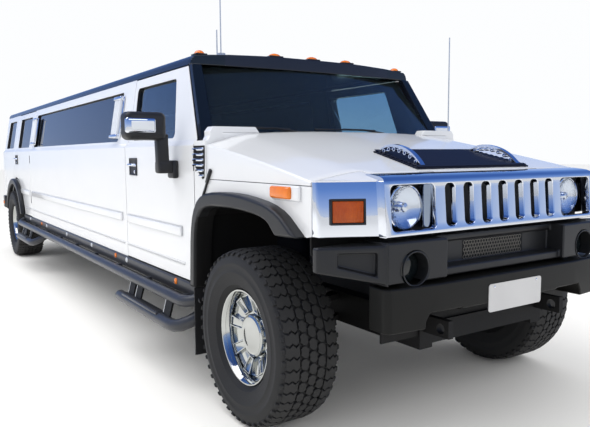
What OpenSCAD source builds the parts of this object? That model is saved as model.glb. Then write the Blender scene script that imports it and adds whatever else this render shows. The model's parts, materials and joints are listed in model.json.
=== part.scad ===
// Stretch limousine on an off-road chassis: a boxy body with a long middle section.
// Millimetres. +X is forward, +Y the vehicle's left, +Z up.
// The origin is on the ground at the middle of the overall length and width.

/* [Overall] */
// Front axle to rear axle
wheelbase = 6360; // [5800:10:7000]
// Front axle to the foremost face of the bumper
front_overhang = 800; // [780:5:840]
// Rear axle to the rearmost face of the bumper
rear_overhang = 1060; // [1030:5:1120]
// Centre line to the flat body side below the windows
side_y = 975; // [965:1:985]
// Centre line to the body side at the roof edge
roof_y = 872; // [850:1:885]
// Height of the roof at its middle
roof_z = 1950; // [1940:1:1975]
// Thickness of a door or side wall
wall_t = 70; // [60:1:80]
// Gap round doors, hood and tailgate
panel_gap = 7; // [6:0.5:9]

/* [Wheels] */
// Tyre outside radius
tyre_r = 436; // [426:1:440]
// Tyre width across the sidewalls
tyre_w = 314; // [290:2:320]
// Radius of the rim where the tyre sits
rim_r = 216; // [205:1:225]
// Left wheel centre to right wheel centre
track = 1764; // [1750:2:1780]
// Radius of the spindle that carries each wheel
spindle_r = 35; // [30:1:40]
// Radial clearance between a spindle and its wheel
spindle_clear = 0.06; // [0.04:0.01:0.09]

/* [Heights] */
// Bottom of the side panels and top of the frame
sill_z = 600; // [590:1:610]
// Height of the belt line under the windows
belt_z = 1415; // [1405:1:1425]
// Height of the roof's edge above the windows
roof_edge_z = 1868; // [1860:1:1876]
// Seam between the tilting hood and the fenders
hood_seam_z = 1205; // [1200:1:1210]

/* [Doors and windows] */
// Front axle to the front edge of the front door
front_door_back = 606; // [600:1:616]
// Length of the front door
front_door_len = 1190; // [1150:5:1230]
// Length of the rear door
rear_door_len = 1050; // [1020:5:1080]
// Rear edge of the rear door behind the rear axle
rear_door_behind = 70; // [50:1:90]
// Height of the bottom of the windows
window_low_z = 1432; // [1428:1:1440]
// Height of the top of the windows
window_high_z = 1800; // [1780:1:1810]
// Glass thickness
glass_t = 6; // [5:0.5:8]

/* [Front end] */
// Front axle to the grille's lower front edge
grille_front = 745; // [735:1:755]
// Half width of the grille with its headlamps
grille_y = 735; // [725:1:745]
// Bottom of the chromed front
grille_low_z = 990; // [985:1:995]
// Number of upright slots in the grille
slot_count = 7; // [5:2:7]
// Distance from slot to slot
slot_pitch = 118; // [110:1:119]
// Width of one slot
slot_w = 64; // [50:1:70]
// Centre line to a headlamp's centre
headlamp_y = 575; // [570:1:580]
// Radius of a headlamp
headlamp_r = 88; // [80:1:95]

/* [Hitch] */
// Radius of the cross pin hole in the hitch receiver
hitch_pin_r = 8; // [6:0.5:9]
// Inside width of the square hitch receiver
hitch_in = 51; // [50:0.5:52]
// Radius of the eye in a front recovery loop
tow_eye_r = 24; // [20:1:28]

/* [Hidden] */
$fn = 64;
length = front_overhang + wheelbase + rear_overhang;
fx = length / 2 - front_overhang;
rx = fx - wheelbase;
nose_x = length / 2;
tail_x = -length / 2;
axle_z = tyre_r;
wheel_y = track / 2;
seat_gap = 0.3;

// Belt shoulder of the body side
belt_y = side_y - 25;
shoulder_drop = 30;

// Fore and aft places of the panels
front_door_x1 = fx - front_door_back;
front_door_x0 = front_door_x1 - front_door_len;
rear_door_x0 = rx - rear_door_behind;
rear_door_x1 = rear_door_x0 + rear_door_len;
body_rear_x = tail_x + 90;
// Windscreen
screen_base_x = fx - 462;
screen_top_x = fx - 800;
screen_base_z = belt_z + 35;
screen_top_z = roof_edge_z;
screen_sweep_low = 112;
screen_sweep_high = 60;
screen_half_low = side_y - 115;
screen_half_high = roof_y - 72;
header_x = fx - 880;
// Hood
hood_front_x = fx + 600;
hood_rear_x = fx - 440;
hood_t = 34;
hood_front_z = hood_seam_z + 41;
hood_rear_z = belt_z + 29;
hood_hinge_z = hood_front_z - 2;
hood_plateau_y = grille_y - 10;
hood_shoulder_y = side_y - 70;
hood_ear_z = belt_z - 30;
// Wheel arches and flares
arch_r = 522;
flare_w = 72;
flare_y = 1032;
arch_low_z = 980;
// Frame
rail_y0 = 360;
rail_y1 = 440;
rail_h = 160;
floor_t = 40;
floor_y = side_y - wall_t - panel_gap - 3;
// Hinge pins, which stand in the gap between a door and its neighbour
pin_r = panel_gap / 2 - seat_gap;
door_hinge_y = side_y;
hood_hinge_x = hood_front_x + panel_gap / 2;
tail_hinge_z = roof_edge_z - panel_gap / 2;
// Steering
kingpin_y = wheel_y - 82;
kingpin_r = 20;
kingpin_clear = 0.06;
// Rim
rim_half = 120;
rim_lip = 20;
hub_face = 52;

// Rounds each corner of a polygon by an arc of radius r, in n steps.
function unit(v) = v / norm(v);
function corner(a, b, c, r, n) =
    let (u = unit(a - b), v = unit(c - b), half = acos(u * v) / 2,
         d = min(r / tan(half), 0.49 * norm(a - b), 0.49 * norm(c - b)),
         p = b + u * d, q = b + v * d, m = b + unit(u + v) * d / cos(half),
         rr = d * tan(half), a0 = atan2(p[1] - m[1], p[0] - m[0]),
         a1 = atan2(q[1] - m[1], q[0] - m[0]),
         turn = a1 - a0 > 180 ? a1 - a0 - 360 : a1 - a0 < -180 ? a1 - a0 + 360 : a1 - a0)
    [for (i = [0:n]) m + rr * [cos(a0 + turn * i / n), sin(a0 + turn * i / n)]];
function rounded(pts, r, n = 5) =
    [for (i = [0:len(pts) - 1])
        each corner(pts[(i + len(pts) - 1) % len(pts)], pts[i], pts[(i + 1) % len(pts)], r, n)];
function box2(x0, z0, x1, z1) = [[x0, z0], [x1, z0], [x1, z1], [x0, z1]];
function arc2(c, r, a0, a1, n) =
    [for (i = [0:n]) c + r * [cos(a0 + (a1 - a0) * i / n), sin(a0 + (a1 - a0) * i / n)]];

// A flat YZ shape drawn out from x0 to x1.
module along_x(x0, x1) {
    translate([x0, 0, 0]) rotate([90, 0, 90]) linear_extrude(x1 - x0) children();
}
// A flat XZ shape drawn out from y0 to y1.
module along_y(y0, y1) {
    translate([0, y1, 0]) rotate([90, 0, 0]) linear_extrude(y1 - y0) children();
}
module bar(x0, y0, z0, x1, y1, z1) {
    translate([x0, y0, z0]) cube([x1 - x0, y1 - y0, z1 - z0]);
}
module both_sides() {
    children();
    mirror([0, 1, 0]) children();
}
// A tube between two points.
module rod(a, b, r) {
    d = b - a;
    translate(a) rotate([0, acos(d[2] / norm(d)), atan2(d[1], d[0])]) cylinder(r = r, h = norm(d));
}
// Skins a row of closed outlines that have the same number of points.
// Polyline with its corners cut twice, ends kept
function cut_corners(p) = concat([p[0]],
    [for (i = [0:len(p) - 2]) for (k = [0.22, 0.78]) p[i] * (1 - k) + p[i + 1] * k], [p[len(p) - 1]]);
function round_off(p) = cut_corners(cut_corners(p));

// Body side: outline of the wall seen from the front, for the left side.
wall_outer = [[side_y, sill_z - panel_gap], [side_y, belt_z - shoulder_drop], [belt_y, belt_z],
              [roof_y, roof_edge_z]];
wall_line = concat(wall_outer, [for (i = [3:-1:0]) wall_outer[i] - [wall_t, 0]]);
// The wall's outer face at a height above the belt.
function side_at(z) = belt_y + (roof_y - belt_y) * (z - belt_z) / (roof_edge_z - belt_z);

module side_wall(x0, x1) {
    along_x(x0, x1) polygon(wall_line);
}
// Part of the left side wall inside a flat XZ outline.
module side_piece(outline) {
    xs = [for (p = outline) p[0]];
    intersection() {
        side_wall(min(xs), max(xs));
        along_y(side_y - 250, side_y + 10) polygon(outline);
    }
}
// Door edges are cut slightly aslant, so that the inside of a door clears its neighbour when it swings.
edge_slant = 0.13;
module behind_edge(x) {
    linear_extrude(roof_z + 50) polygon([[x - 1500, side_y - 260], [x + edge_slant * 260, side_y - 260],
                                         [x - edge_slant * 20, side_y + 20], [x - 1500, side_y + 20]]);
}
module side_cut(outline) {
    along_y(side_y - 300, side_y + 60) polygon(outline);
}
// A pane that fills a window outline at mid wall, leaning with the side.
pane_in = 22;
module pane(outline) {
    intersection() {
        along_x(min([for (p = outline) p[0]]), max([for (p = outline) p[0]]))
            polygon([[belt_y - pane_in, belt_z], [roof_y - pane_in, roof_edge_z],
                     [roof_y - pane_in - glass_t, roof_edge_z], [belt_y - pane_in - glass_t, belt_z]]);
        side_cut(outline);
    }
}

// Side outlines, seen from the left, in XZ
door_top_z = roof_edge_z - panel_gap;
pillar_lean = 276 / (roof_edge_z - belt_z);
function pillar_x(z) = front_door_x1 - max(0, z - belt_z) * pillar_lean;
front_door_line = [[front_door_x0, sill_z], [front_door_x1, sill_z], [front_door_x1, belt_z],
                   [pillar_x(door_top_z), door_top_z], [front_door_x0, door_top_z]];
front_window = rounded([[front_door_x0 + 95, window_low_z], [front_door_x1 - 330, window_low_z],
                        [pillar_x(window_high_z) - 195, window_high_z],
                        [front_door_x0 + 60, window_high_z]], 30);
mid_x1 = front_door_x0 - panel_gap;
mid_x0 = rear_door_x1 + panel_gap;
long_window = rounded(box2(mid_x0 + 130, window_low_z, mid_x1 - 240, window_high_z), 25);
flare_r = arch_r + flare_w;
door_arch_r = flare_r + 2 * panel_gap;
rear_arch = [rx, axle_z];
arch_meet = asin((sill_z - axle_z) / door_arch_r);
arch_leave = acos(-rear_door_behind / door_arch_r);
rear_door_line = concat(
    [[rear_door_x1, sill_z], [rear_door_x1, door_top_z], [rear_door_x0, door_top_z]],
    arc2(rear_arch, door_arch_r, arch_leave, arch_meet, 18));
rear_window = rounded(box2(rear_door_x0 + 150, window_low_z, rear_door_x1 - 150, window_high_z), 25);
quarter_x1 = rear_door_x0 - panel_gap;
quarter_window = rounded([[body_rear_x + 130, window_low_z], [quarter_x1 - 190, window_low_z],
                          [quarter_x1 - 190, window_high_z], [body_rear_x + 170, window_high_z]], 25);
tail_half = side_y - 185;
tail_low_z = sill_z + 170;
door_arch_z = axle_z + flare_r * cos(asin(rear_door_behind / flare_r)) - 6;

// Chassis

rail_x0 = body_rear_x - 2;
rail_x1 = fx + 640;
cross_z1 = sill_z - 40;
cross_z0 = sill_z - rail_h + 20;
axle_notch = 110;
module frame_rails() {
    color("dimgray") difference() {
        union() {
            both_sides() bar(rail_x0, rail_y0, sill_z - rail_h, rail_x1, rail_y1, sill_z);
            for (x = [tail_x + 230, rx - 560, rx + 900, rx + 2200, fx - 2400, fx - 1100, fx - 40, rail_x1 - 80])
                bar(x, -rail_y0 - 5, cross_z0, x + 80, rail_y0 + 5, cross_z1);
        }
        // The rails arch over the rear axle
        bar(rx - axle_notch, -rail_y1 - 5, 0, rx + axle_notch, rail_y1 + 5, axle_z + 70);
    }
}

well_r = arch_r - 8;
well_y = wheel_y - tyre_w / 2 - 40;
well_t = 15;
floor_x1 = front_door_x1 + 60;
floor_x0 = body_rear_x + wall_t;
module floor_pan() {
    wall_in = side_y - wall_t;
    color("gray") difference() {
        union() {
            bar(floor_x0, -floor_y, sill_z, floor_x1, floor_y, sill_z + floor_t);
            // Tabs that meet the fixed side panels
            both_sides() {
                bar(mid_x0, 0, sill_z, mid_x1, wall_in, sill_z + floor_t);
                bar(floor_x0, 0, sill_z, quarter_x1, wall_in, sill_z + floor_t);
            }
            both_sides() translate([rx, floor_y, axle_z]) rotate([90, 0, 0])
                cylinder(r = well_r + well_t, h = floor_y - well_y + well_t);
            // Panel under the tailgate
            bar(body_rear_x, -tail_half - panel_gap, sill_z, floor_x0 + 1, tail_half + panel_gap,
                tail_low_z - panel_gap);
        }
        both_sides() translate([rx, side_y, axle_z]) rotate([90, 0, 0])
            cylinder(r = well_r, h = side_y - well_y);
        bar(rx - 700, -side_y, -200, rx + 700, side_y, sill_z);
    }
}

roof_skin = concat([[roof_y, roof_edge_z]],
                   arc2([roof_y - 62, roof_edge_z + 4], 60, 8, 62, 5),
                   [[roof_y * 0.72, roof_z - 12], [roof_y * 0.38, roof_z - 3]]);
roof_under = [[roof_y * 0.4, roof_z - 45], [roof_y * 0.7, roof_z - 53],
              [roof_y - wall_t - 12, roof_edge_z + 16], [roof_y - wall_t, roof_edge_z]];
function across(half) = concat(half, [for (i = [len(half) - 1:-1:0]) [-half[i][0], half[i][1]]]);
function back_across(half) =
    concat([for (i = [len(half) - 1:-1:0]) [-half[i][0], half[i][1]]], half);
module roof_panel() {
    color("midnightblue") {
        along_x(body_rear_x, header_x) polygon(concat(across(roof_skin), back_across(roof_under)));
        // Rear header, over the tailgate
        along_x(body_rear_x, body_rear_x + wall_t) polygon(across(roof_skin));
    }
}

module mid_side_panels() {
    color("white") both_sides() difference() {
        side_piece(box2(mid_x0, sill_z - panel_gap, mid_x1 + 40, roof_edge_z));
        side_cut(long_window);
        difference() {
            bar(mid_x1 - 5, 0, 0, mid_x1 + 100, side_y + 10, roof_z);
            behind_edge(mid_x1);
        }
    }
}

module rear_quarter_panels() {
    arch_a = asin((sill_z - panel_gap - axle_z) / flare_r);
    arch_b = asin((sill_z - panel_gap - axle_z) / arch_r);
    ring = concat(arc2(rear_arch, flare_r, arch_a, 100, 16), arc2(rear_arch, arch_r, 100, arch_b, 16));
    color("white") both_sides() {
        difference() {
            union() {
                side_piece(box2(body_rear_x, sill_z - panel_gap, quarter_x1 + 40, roof_edge_z));
                // Corner pillar beside the tailgate
                along_x(body_rear_x, body_rear_x + wall_t)
                    polygon([[side_y - 1, sill_z - panel_gap], [side_y - 1, belt_z - shoulder_drop],
                             [belt_y - 1, belt_z], [roof_y - 1, roof_edge_z],
                             [tail_half + panel_gap - 80, roof_edge_z], [tail_half + panel_gap, belt_z],
                             [tail_half + panel_gap, sill_z - panel_gap]]);
                along_y(side_y - wall_t, side_y) polygon(ring);
            }
            side_cut(quarter_window);
            translate([rx, side_y + 5, axle_z]) rotate([90, 0, 0]) cylinder(r = arch_r, h = wall_t + 10);
            difference() {
                bar(quarter_x1 - 5, 0, door_arch_z, quarter_x1 + 100, side_y + 10, roof_z);
                behind_edge(quarter_x1);
            }
        }
    }
}

// Windscreen frame: pillars, header, cowl and the bulkhead behind the engine
screen_lean = atan2(screen_base_x - screen_top_x, screen_top_z - screen_base_z);
module windscreen() {
    n = 6;
    bow = [for (i = [-n:n]) let (s = i / n) [-screen_sweep_low * cos(screen_lean) * s * s, screen_half_low * s]];
    inside = [for (i = [2 * n:-1:0]) bow[i] - [glass_t, 0]];
    color("darkslategray", 0.6) intersection() {
        translate([screen_base_x, 0, screen_base_z]) rotate([0, -screen_lean, 0]) translate([0, 0, -200])
            linear_extrude(1000) polygon(concat(bow, inside));
        along_x(screen_top_x - 400, screen_base_x + 100)
            polygon([[-screen_half_low, screen_base_z], [screen_half_low, screen_base_z],
                     [screen_half_high, screen_top_z], [-screen_half_high, screen_top_z]]);
    }
}
bulkhead_t = 20;
cowl_x0 = fx - 640;
cowl_z0 = hood_seam_z + 60;
module windscreen_frame() {
    pillar = 62;
    post_t = 40;
    foot_x = front_door_x1 + panel_gap + 4;
    foot_z = belt_z - 4;
    front = [for (s = [-1:0.25:1]) [fx - 790 - screen_sweep_high * s * s, roof_y * s]];
    color("midnightblue") union() {
        both_sides() {
            // Pillar between windscreen and door
            hull() {
                translate([foot_x, screen_half_low + 5, foot_z]) cube([post_t, pillar + 16, 4]);
                translate([pillar_x(roof_edge_z) + panel_gap + 4, screen_half_high + 8, roof_edge_z - 4])
                    cube([post_t, pillar, 4]);
            }
            bar(foot_x, screen_half_low + 5, sill_z + floor_t, bulkhead_x + 5, side_y - wall_t - 4, foot_z + 1);
        }
        // Header over the windscreen, in front of the roof panel
        intersection() {
            along_x(header_x, fx - 780) polygon(across(roof_skin));
            translate([0, 0, roof_edge_z - 5]) linear_extrude(roof_z)
                polygon(concat([[header_x - 1, -roof_y]], front, [[header_x - 1, roof_y]]));
        }
        // Bulkhead and cowl
        bar(bulkhead_x, -floor_y, sill_z + floor_t, bulkhead_x + bulkhead_t, floor_y, cowl_z0 + 60);
        bar(cowl_x0, -screen_half_low + 5, cowl_z0, hood_rear_x - panel_gap - 3, screen_half_low - 5, screen_base_z);
    }
}

partition_x = mid_x1 - 120;
module partition() {
    color("black") bar(partition_x, -floor_y + 60, sill_z + floor_t, partition_x + 40, floor_y - 60, belt_z);
}

dash_x0 = cowl_x0 - 260;
module dashboard() {
    color("black") along_y(-800, 800)
        polygon([[dash_x0 + 60, 1040], [cowl_x0, 1040], [cowl_x0, cowl_z0 + 60], [dash_x0, cowl_z0 + 20],
                 [dash_x0, 1140]]);
}

// Front end

fender_y0 = side_y - 48;
chrome_end_x = fx + 552;
fender_x0 = front_door_x1 + panel_gap;
liner_x0 = fender_x0 + 80;
bulkhead_x = liner_x0 - bulkhead_t;
liner_t = 12;
liner_in = wheel_y - 396;
arch_front = fx + 470;
arch_rear = fx - 500;
// Front wheel arch and the outside of its flare, from the front over the wheel to the sill
arch_line = round_off([[fx + 345, grille_low_z - 15], [fx + 262, 1048], [fx - 30, 1070], [fx - 385, 1060],
                       [fx - 478, 960], [arch_rear, sill_z - panel_gap]]);
flare_line = round_off([[fx + 513, grille_low_z - 8], [fx + 335, 1104], [fx - 20, 1146], [fx - 420, 1132],
                        [fx - 545, 985], [fx - 572, sill_z - panel_gap]]);

pad_top_z = screen_base_z + 34;
module front_fenders() {
    cap_x1 = hood_rear_x - panel_gap;
    cap_z = belt_z - 7;
    top_z = hood_seam_z - panel_gap;
    color("white") both_sides() {
        along_y(fender_y0, side_y)
            polygon(concat([[fender_x0, sill_z - panel_gap], [fender_x0, cap_z], [cap_x1, cap_z], [cap_x1, top_z],
                            [chrome_end_x, top_z], [chrome_end_x, grille_low_z], [fx + 513, grille_low_z - 8]],
                           arch_line));
        bar(fender_x0, side_y - wall_t - 2, cap_z - 40, cap_x1, fender_y0, cap_z);
        // Raised pad in front of the windscreen's corner
        along_x(cap_x1 - 74, cap_x1) polygon([[634, screen_base_z + seat_gap], [660, pad_top_z], [925, pad_top_z],
            [945, pad_top_z - 26], [945, cap_z - 10], [868, cap_z - 10], [868, screen_base_z + seat_gap]]);
        // Liner over the wheel
        along_y(liner_in, fender_y0) polygon(concat(
            [[liner_x0, sill_z + 60], [liner_x0, 1000]], [[fx - 370, 1075 + liner_t], [fx + 400, 1062 + liner_t],
            [arch_front + liner_t, 990], [arch_front + liner_t, 900], [arch_front, 900], [arch_front, 985],
            [fx + 395, 1062], [fx - 365, 1075], [liner_x0 + liner_t, 994], [liner_x0 + liner_t, sill_z + 60]]));
    }
}

module grille_shell() {
    back = fx + 640;
    top_x = hood_front_x + panel_gap;
    face = rounded([[fx + 664, grille_low_z], [fx + grille_front, grille_low_z], [fx + grille_front - 18, 1195],
                    [fx + 668, hood_front_z - 4], [top_x, hood_front_z], [top_x, hood_front_z - 24],
                    [fx + 650, hood_front_z - 30], [fx + 690, 1180], [fx + 700, grille_low_z + 24],
                    [fx + 664, grille_low_z + 24]], 3, 3);
    slot_low = grille_low_z + 22;
    slot_high = 1200;
    color("silver") difference() {
        union() {
            along_y(-grille_y, grille_y) polygon(face);
            both_sides() {
                // Cheek that steps back to the fender
                translate([0, 0, grille_low_z]) linear_extrude(hood_seam_z + 14 - grille_low_z) polygon(cheek_plan);
                along_y(grille_y - 30, grille_y)
                    polygon([[chrome_end_x, grille_low_z], [fx + grille_front - 4, grille_low_z],
                             [fx + grille_front - 26, 1185], [fx + 655, hood_front_z - 16],
                             [top_x, hood_front_z - 8], [chrome_end_x, hood_seam_z + 14]]);
            }
        }
        for (i = [0:slot_count - 1])
            along_x(fx + 640, fx + 800) translate([(i - (slot_count - 1) / 2) * slot_pitch, 0])
                polygon(rounded(box2(-slot_w / 2, slot_low, slot_w / 2, slot_high), 24, 4));
        both_sides() along_x(fx + 640, fx + 800)
            polygon(rounded(box2(headlamp_y - 128, slot_low - 6, headlamp_y + 128, slot_high + 2), 26, 4));
        // Channel for the hood's hinge at the back of the shell
        bar(chrome_end_x - 5, -grille_y + 30, 0, top_x, grille_y - 30, 2000);
    }
}
amber_y = (grille_y + side_y) / 2 + 3;
amber_half = 76;
cheek_x = fx + 598;
cheek_x1 = fx + 700;
cheek_plan = [[chrome_end_x, side_y - 4], [cheek_x - 20, side_y - 4], [cheek_x - 6, side_y - 12], [cheek_x, side_y - 30],
              [cheek_x1, grille_y + 12], [cheek_x1 + 10, grille_y - 4], [cheek_x1 + 10, grille_y - 30],
              [chrome_end_x, grille_y - 30]];
cheek_turn = atan2(cheek_x1 - cheek_x, side_y - 42 - grille_y);

grille_back_x = fx + 640;
module grille_back() {
    color("black") bar(grille_back_x, -grille_y + 30, grille_low_z + 4, grille_back_x + 12, grille_y - 30, hood_seam_z - 5);
}

headlamp_z = 1100;
module headlamps() {
    color("lightgray") both_sides() translate([grille_back_x + 12, headlamp_y, headlamp_z]) rotate([0, 90, 0])
        cylinder(r = headlamp_r, h = 34);
}

// Marker lamps on the roof: place across, place along, height above the roof's edge
lamp_y = 0;
lamp_x = 1;
lamp_drop = 2;
roof_lamps = [[0, fx - 838, 2.7], [288, fx - 843, 2.7], [-288, fx - 843, 2.7], [790, fx - 900, 19.2], [-790, fx - 900, 19.2]];
module amber_lamps() {
    color("darkorange") {
        both_sides() translate([cheek_x + (side_y - 30 - amber_y) * tan(cheek_turn), amber_y, 0]) rotate([0, 0, cheek_turn])
            bar(seat_gap, -amber_half, 1038, 14, amber_half, 1150);
        both_sides() bar(fx + 240, side_y, 1134, fx + 440, side_y + 26, 1194);
        for (l = roof_lamps)
            bar(l[lamp_x] - 30, l[lamp_y] - 40, roof_z - l[lamp_drop], l[lamp_x] + 30, l[lamp_y] + 40,
                roof_z - l[lamp_drop] + 24);
    }
}

// Bumpers

bumper_low_z = 795;
bumper_high_z = 968;
fog_y = 600;
fog_r = 74;
module front_bumper() {
    mid = 415;
    block_y = 750;
    block_x = fx + 610;
    face_x = nose_x - 20;
    chin_x = nose_x;
    color("dimgray") {
        difference() {
            union() {
                both_sides() {
                    // Block with a round lamp pocket
                    translate([0, 0, bumper_low_z]) linear_extrude(bumper_high_z - bumper_low_z)
                        polygon([[block_x, mid], [face_x, mid], [face_x - 14, block_y], [block_x, block_y]]);
                    // End cap that sweeps back
                    difference() {
                        hull() {
                            bar(fx + 600, block_y, bumper_low_z + 6, face_x - 18, block_y + 10, bumper_high_z - 8);
                            bar(fx + 605, 1000, 854, fx + 640, 1010, bumper_high_z - 12);
                        }
                        translate([fx + 701, 880, 0]) rotate([0, 0, 25]) along_x(-28, 60)
                            polygon([[-104, 834], [-104, 930], [58, 931], [58, 877]]);
                    }
                }
                // Centre bar, set back
                bar(block_x, -mid, bumper_low_z, face_x - 24, mid, bumper_low_z + 40);
                bar(block_x, -mid, bumper_low_z + 40, fx + 680, mid, bumper_high_z);
                bar(block_x, -mid, bumper_high_z - 30, fx + 700, mid, bumper_high_z);
            }
            both_sides() translate([fx + 650, fog_y, 852]) rotate([0, 90, 0]) cylinder(r = fog_r, h = 200);
        }
        difference() {
            // Chin
            translate([0, 0, 590]) linear_extrude(190) polygon(concat(
                [[fx + 640, -700], [fx + 650, -752], [chin_x - 50, -758], [chin_x - 24, -740]], [[chin_x, -480],
                [chin_x, 480], [chin_x - 24, 740], [chin_x - 50, 758], [fx + 650, 752], [fx + 640, 700]]));
            // Notches for the recovery loops, and the raised middle
            both_sides() along_x(fx + 600, nose_x + 50)
                polygon([[345, 500], [560, 500], [552, 620], [530, 656], [345, 656]]);
            bar(fx + 600, -350, 500, nose_x + 50, 350, 650);
        }
        // Brackets back to the frame
        both_sides() bar(fx + 560, rail_y0 + 10, sill_z, block_x, rail_y1 - 10, 780);
        both_sides() bar(fx + 560, rail_y0 + 10, 780, block_x, rail_y1 - 10, bumper_high_z - 40);
        both_sides() bar(fx + 560, rail_y0 + 10, 670, fx + 660, rail_y1 - 10, 770);
    }
}

module rear_bumper() {
    color("dimgray") difference() {
        union() {
            translate([0, 0, 585]) linear_extrude(170) polygon(
                [[tail_x, -800], [tail_x + 60, -1000], [body_rear_x + 130, -1005], [body_rear_x + 130, -side_y - 2],
                 [body_rear_x - 2, -side_y - 2], [body_rear_x - 2, side_y + 2], [body_rear_x + 130, side_y + 2],
                 [body_rear_x + 130, 1005], [tail_x + 60, 1000], [tail_x, 800]]);
        }
        bar(tail_x - 5, -260, 680, tail_x + 40, 260, 770);
    }
}

hitch_t = 6.5;
hitch_z = 540;
module hitch_receiver() {
    outer = hitch_in / 2 + hitch_t;
    color("black") difference() {
        bar(tail_x + 10, -outer, hitch_z - outer, tail_x + 230, outer, hitch_z + outer);
        bar(tail_x - 10, -hitch_in / 2, hitch_z - hitch_in / 2, tail_x + 190, hitch_in / 2, hitch_z + hitch_in / 2);
        translate([tail_x + 70, outer + 10, hitch_z]) rotate([90, 0, 0]) cylinder(r = hitch_pin_r, h = 2 * outer + 20);
    }
}

loop_z = sill_z - 42;
module tow_loops() {
    color("silver") both_sides() difference() {
        bar(rail_x1, rail_y0 + 25, loop_z - 38, nose_x - 12, rail_y1 - 25, loop_z + 42);
        translate([nose_x - 60, rail_y1, loop_z]) rotate([90, 0, 0]) cylinder(r = tow_eye_r, h = 90);
    }
}

module tail_lamps() {
    color("darkred") both_sides()
        bar(body_rear_x - 14, tail_half + panel_gap + 20, 1010, body_rear_x, side_y - 30, 1300);
}

module fixed_side_glass() {
    color("black", 0.7) both_sides() {
        pane(long_window);
        pane(quarter_window);
    }
}

module wheel_arch_flares() {
    rise = asin((sill_z - panel_gap - axle_z) / flare_r);
    color([0.16, 0.16, 0.17]) both_sides() {
        // Front
        along_y(side_y, flare_y)
            polygon(concat(flare_line, [for (i = [len(arch_line) - 1:-1:0]) arch_line[i]]));
        // Rear
        along_y(side_y, flare_y) polygon(concat(arc2(rear_arch, flare_r, rise, 180 - rise, 28),
            arc2(rear_arch, arch_r, 180 - asin((sill_z - panel_gap - axle_z) / arch_r),
                 asin((sill_z - panel_gap - axle_z) / arch_r), 28)));
    }
}

step_y = 1050;
step_z = 500;
step_r = 34;
step_x0 = rx + flare_r - 40;
step_x1 = fx - arch_r;
hoop_drop = 150;
hoop_r = 38;
hanger_w = 70;
hanger_t = 12;
// Step hoops under the doors: rear end, front end
hoops = [[fx - 1720, fx - 470], [rear_door_x1 - 300, rear_door_x1 + 760]];
module side_steps() {
    color([0.16, 0.16, 0.17]) both_sides() {
        bar(step_x0, side_y - wall_t, sill_z - panel_gap - 83, step_x1, side_y + 15, sill_z - panel_gap);
        translate([step_x0 + 20, step_y, step_z]) rotate([0, 90, 0]) cylinder(r = step_r, h = step_x1 - step_x0 - 30);
        for (i = [0:8])
            bar(step_x0 + 60 + i * (step_x1 - step_x0 - 180) / 8, side_y + 10, step_z + 12,
                step_x0 + 100 + i * (step_x1 - step_x0 - 180) / 8, step_y, step_z + 28);
        // Drop steps under the doors, on flat hangers
        for (h = hoops) {
            low = [[h[0] + 60, step_y + 40, step_z - hoop_drop], [h[1] - 110, step_y + 40, step_z - hoop_drop]];
            rod(low[0], low[1], hoop_r);
            for (p = low) translate(p) sphere(r = hoop_r + 0.5);
            for (x = [h[0] + 250, h[0] + 390, h[1] - 360]) along_x(x, x + hanger_w) polygon([
                [step_y - hanger_t / 2, step_z], [step_y + hanger_t / 2, step_z],
                [low[0][1] + hanger_t / 2, low[0][2]], [low[0][1] - hanger_t / 2, low[0][2]]]);
        }
    }
}
module mud_flaps() {
    color("black") both_sides() {
        bar(step_x1, 760, 210, step_x1 + 10, flare_y - 4, sill_z - panel_gap);
        bar(rx - 540, 760, 260, rx - 530, side_y + 25, sill_z - panel_gap);
    }
}

// Running gear

module engine_block() {
    color("darkgray") {
        bar(fx - 480, -270, cross_z1, fx + 260, 270, 1130);
        bar(fx + 470, -rail_y1, sill_z, fx + 530, rail_y1, 1150);
        bar(fx + 260, -120, 700, fx + 470, 120, 900);
    }
}

arm_t = 28;
arm_half = 34;
eye_low_z = axle_z - 120;
eye_high_z = axle_z + 92;
kingpin_top_z = eye_high_z + arm_t;
module front_suspension() {
    color("dimgray") both_sides() difference() {
        union() {
            along_y_arm(eye_low_z, sill_z - 150);
            along_y_arm(eye_high_z, sill_z - 40);
        }
        translate([fx, kingpin_y, 0]) cylinder(r = kingpin_r + kingpin_clear, h = 1000);
    }
}
// A suspension arm from the frame rail out to the kingpin.
module along_y_arm(eye_z, rail_z) {
    along_x(fx - arm_half, fx + arm_half)
        polygon([[rail_y1, rail_z], [rail_y1, rail_z + arm_t], [kingpin_y - 35, eye_z + arm_t],
                 [kingpin_y + 32, eye_z + arm_t], [kingpin_y + 32, eye_z], [kingpin_y - 45, eye_z]]);
}

module knuckle() {
    low = eye_low_z + arm_t + 5;
    high = eye_high_z - 5;
    color("dimgray") {
        bar(fx - 42, kingpin_y - 30, low, fx + 42, kingpin_y + 30, high);
        translate([fx, kingpin_y, eye_low_z]) cylinder(r = kingpin_r, h = kingpin_top_z - eye_low_z);
        translate([fx, wheel_y + hub_face + 4, axle_z]) rotate([90, 0, 0])
            cylinder(r = spindle_r, h = wheel_y + hub_face + 4 - kingpin_y);
    }
}
module knuckle_left() { knuckle(); }
module knuckle_right() { mirror([0, 1, 0]) knuckle(); }

axle_r = 58;
module rear_axle() {
    end_y = wheel_y + hub_face + 4;
    color("dimgray") {
        translate([rx, 700, axle_z]) rotate([90, 0, 0]) cylinder(r = axle_r, h = 1400);
        translate([rx, end_y, axle_z]) rotate([90, 0, 0]) cylinder(r = spindle_r, h = 2 * end_y);
        translate([rx, 130, axle_z]) rotate([90, 0, 0]) cylinder(r = 150, h = 260);
        translate([rx + 100, 0, axle_z]) rotate([0, 90, 0]) cylinder(r = 60, h = 120);
        both_sides() bar(rx - 45, rail_y0 + 5, axle_z, rx + 45, rail_y1 - 5, axle_z + 70);
    }
}

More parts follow.
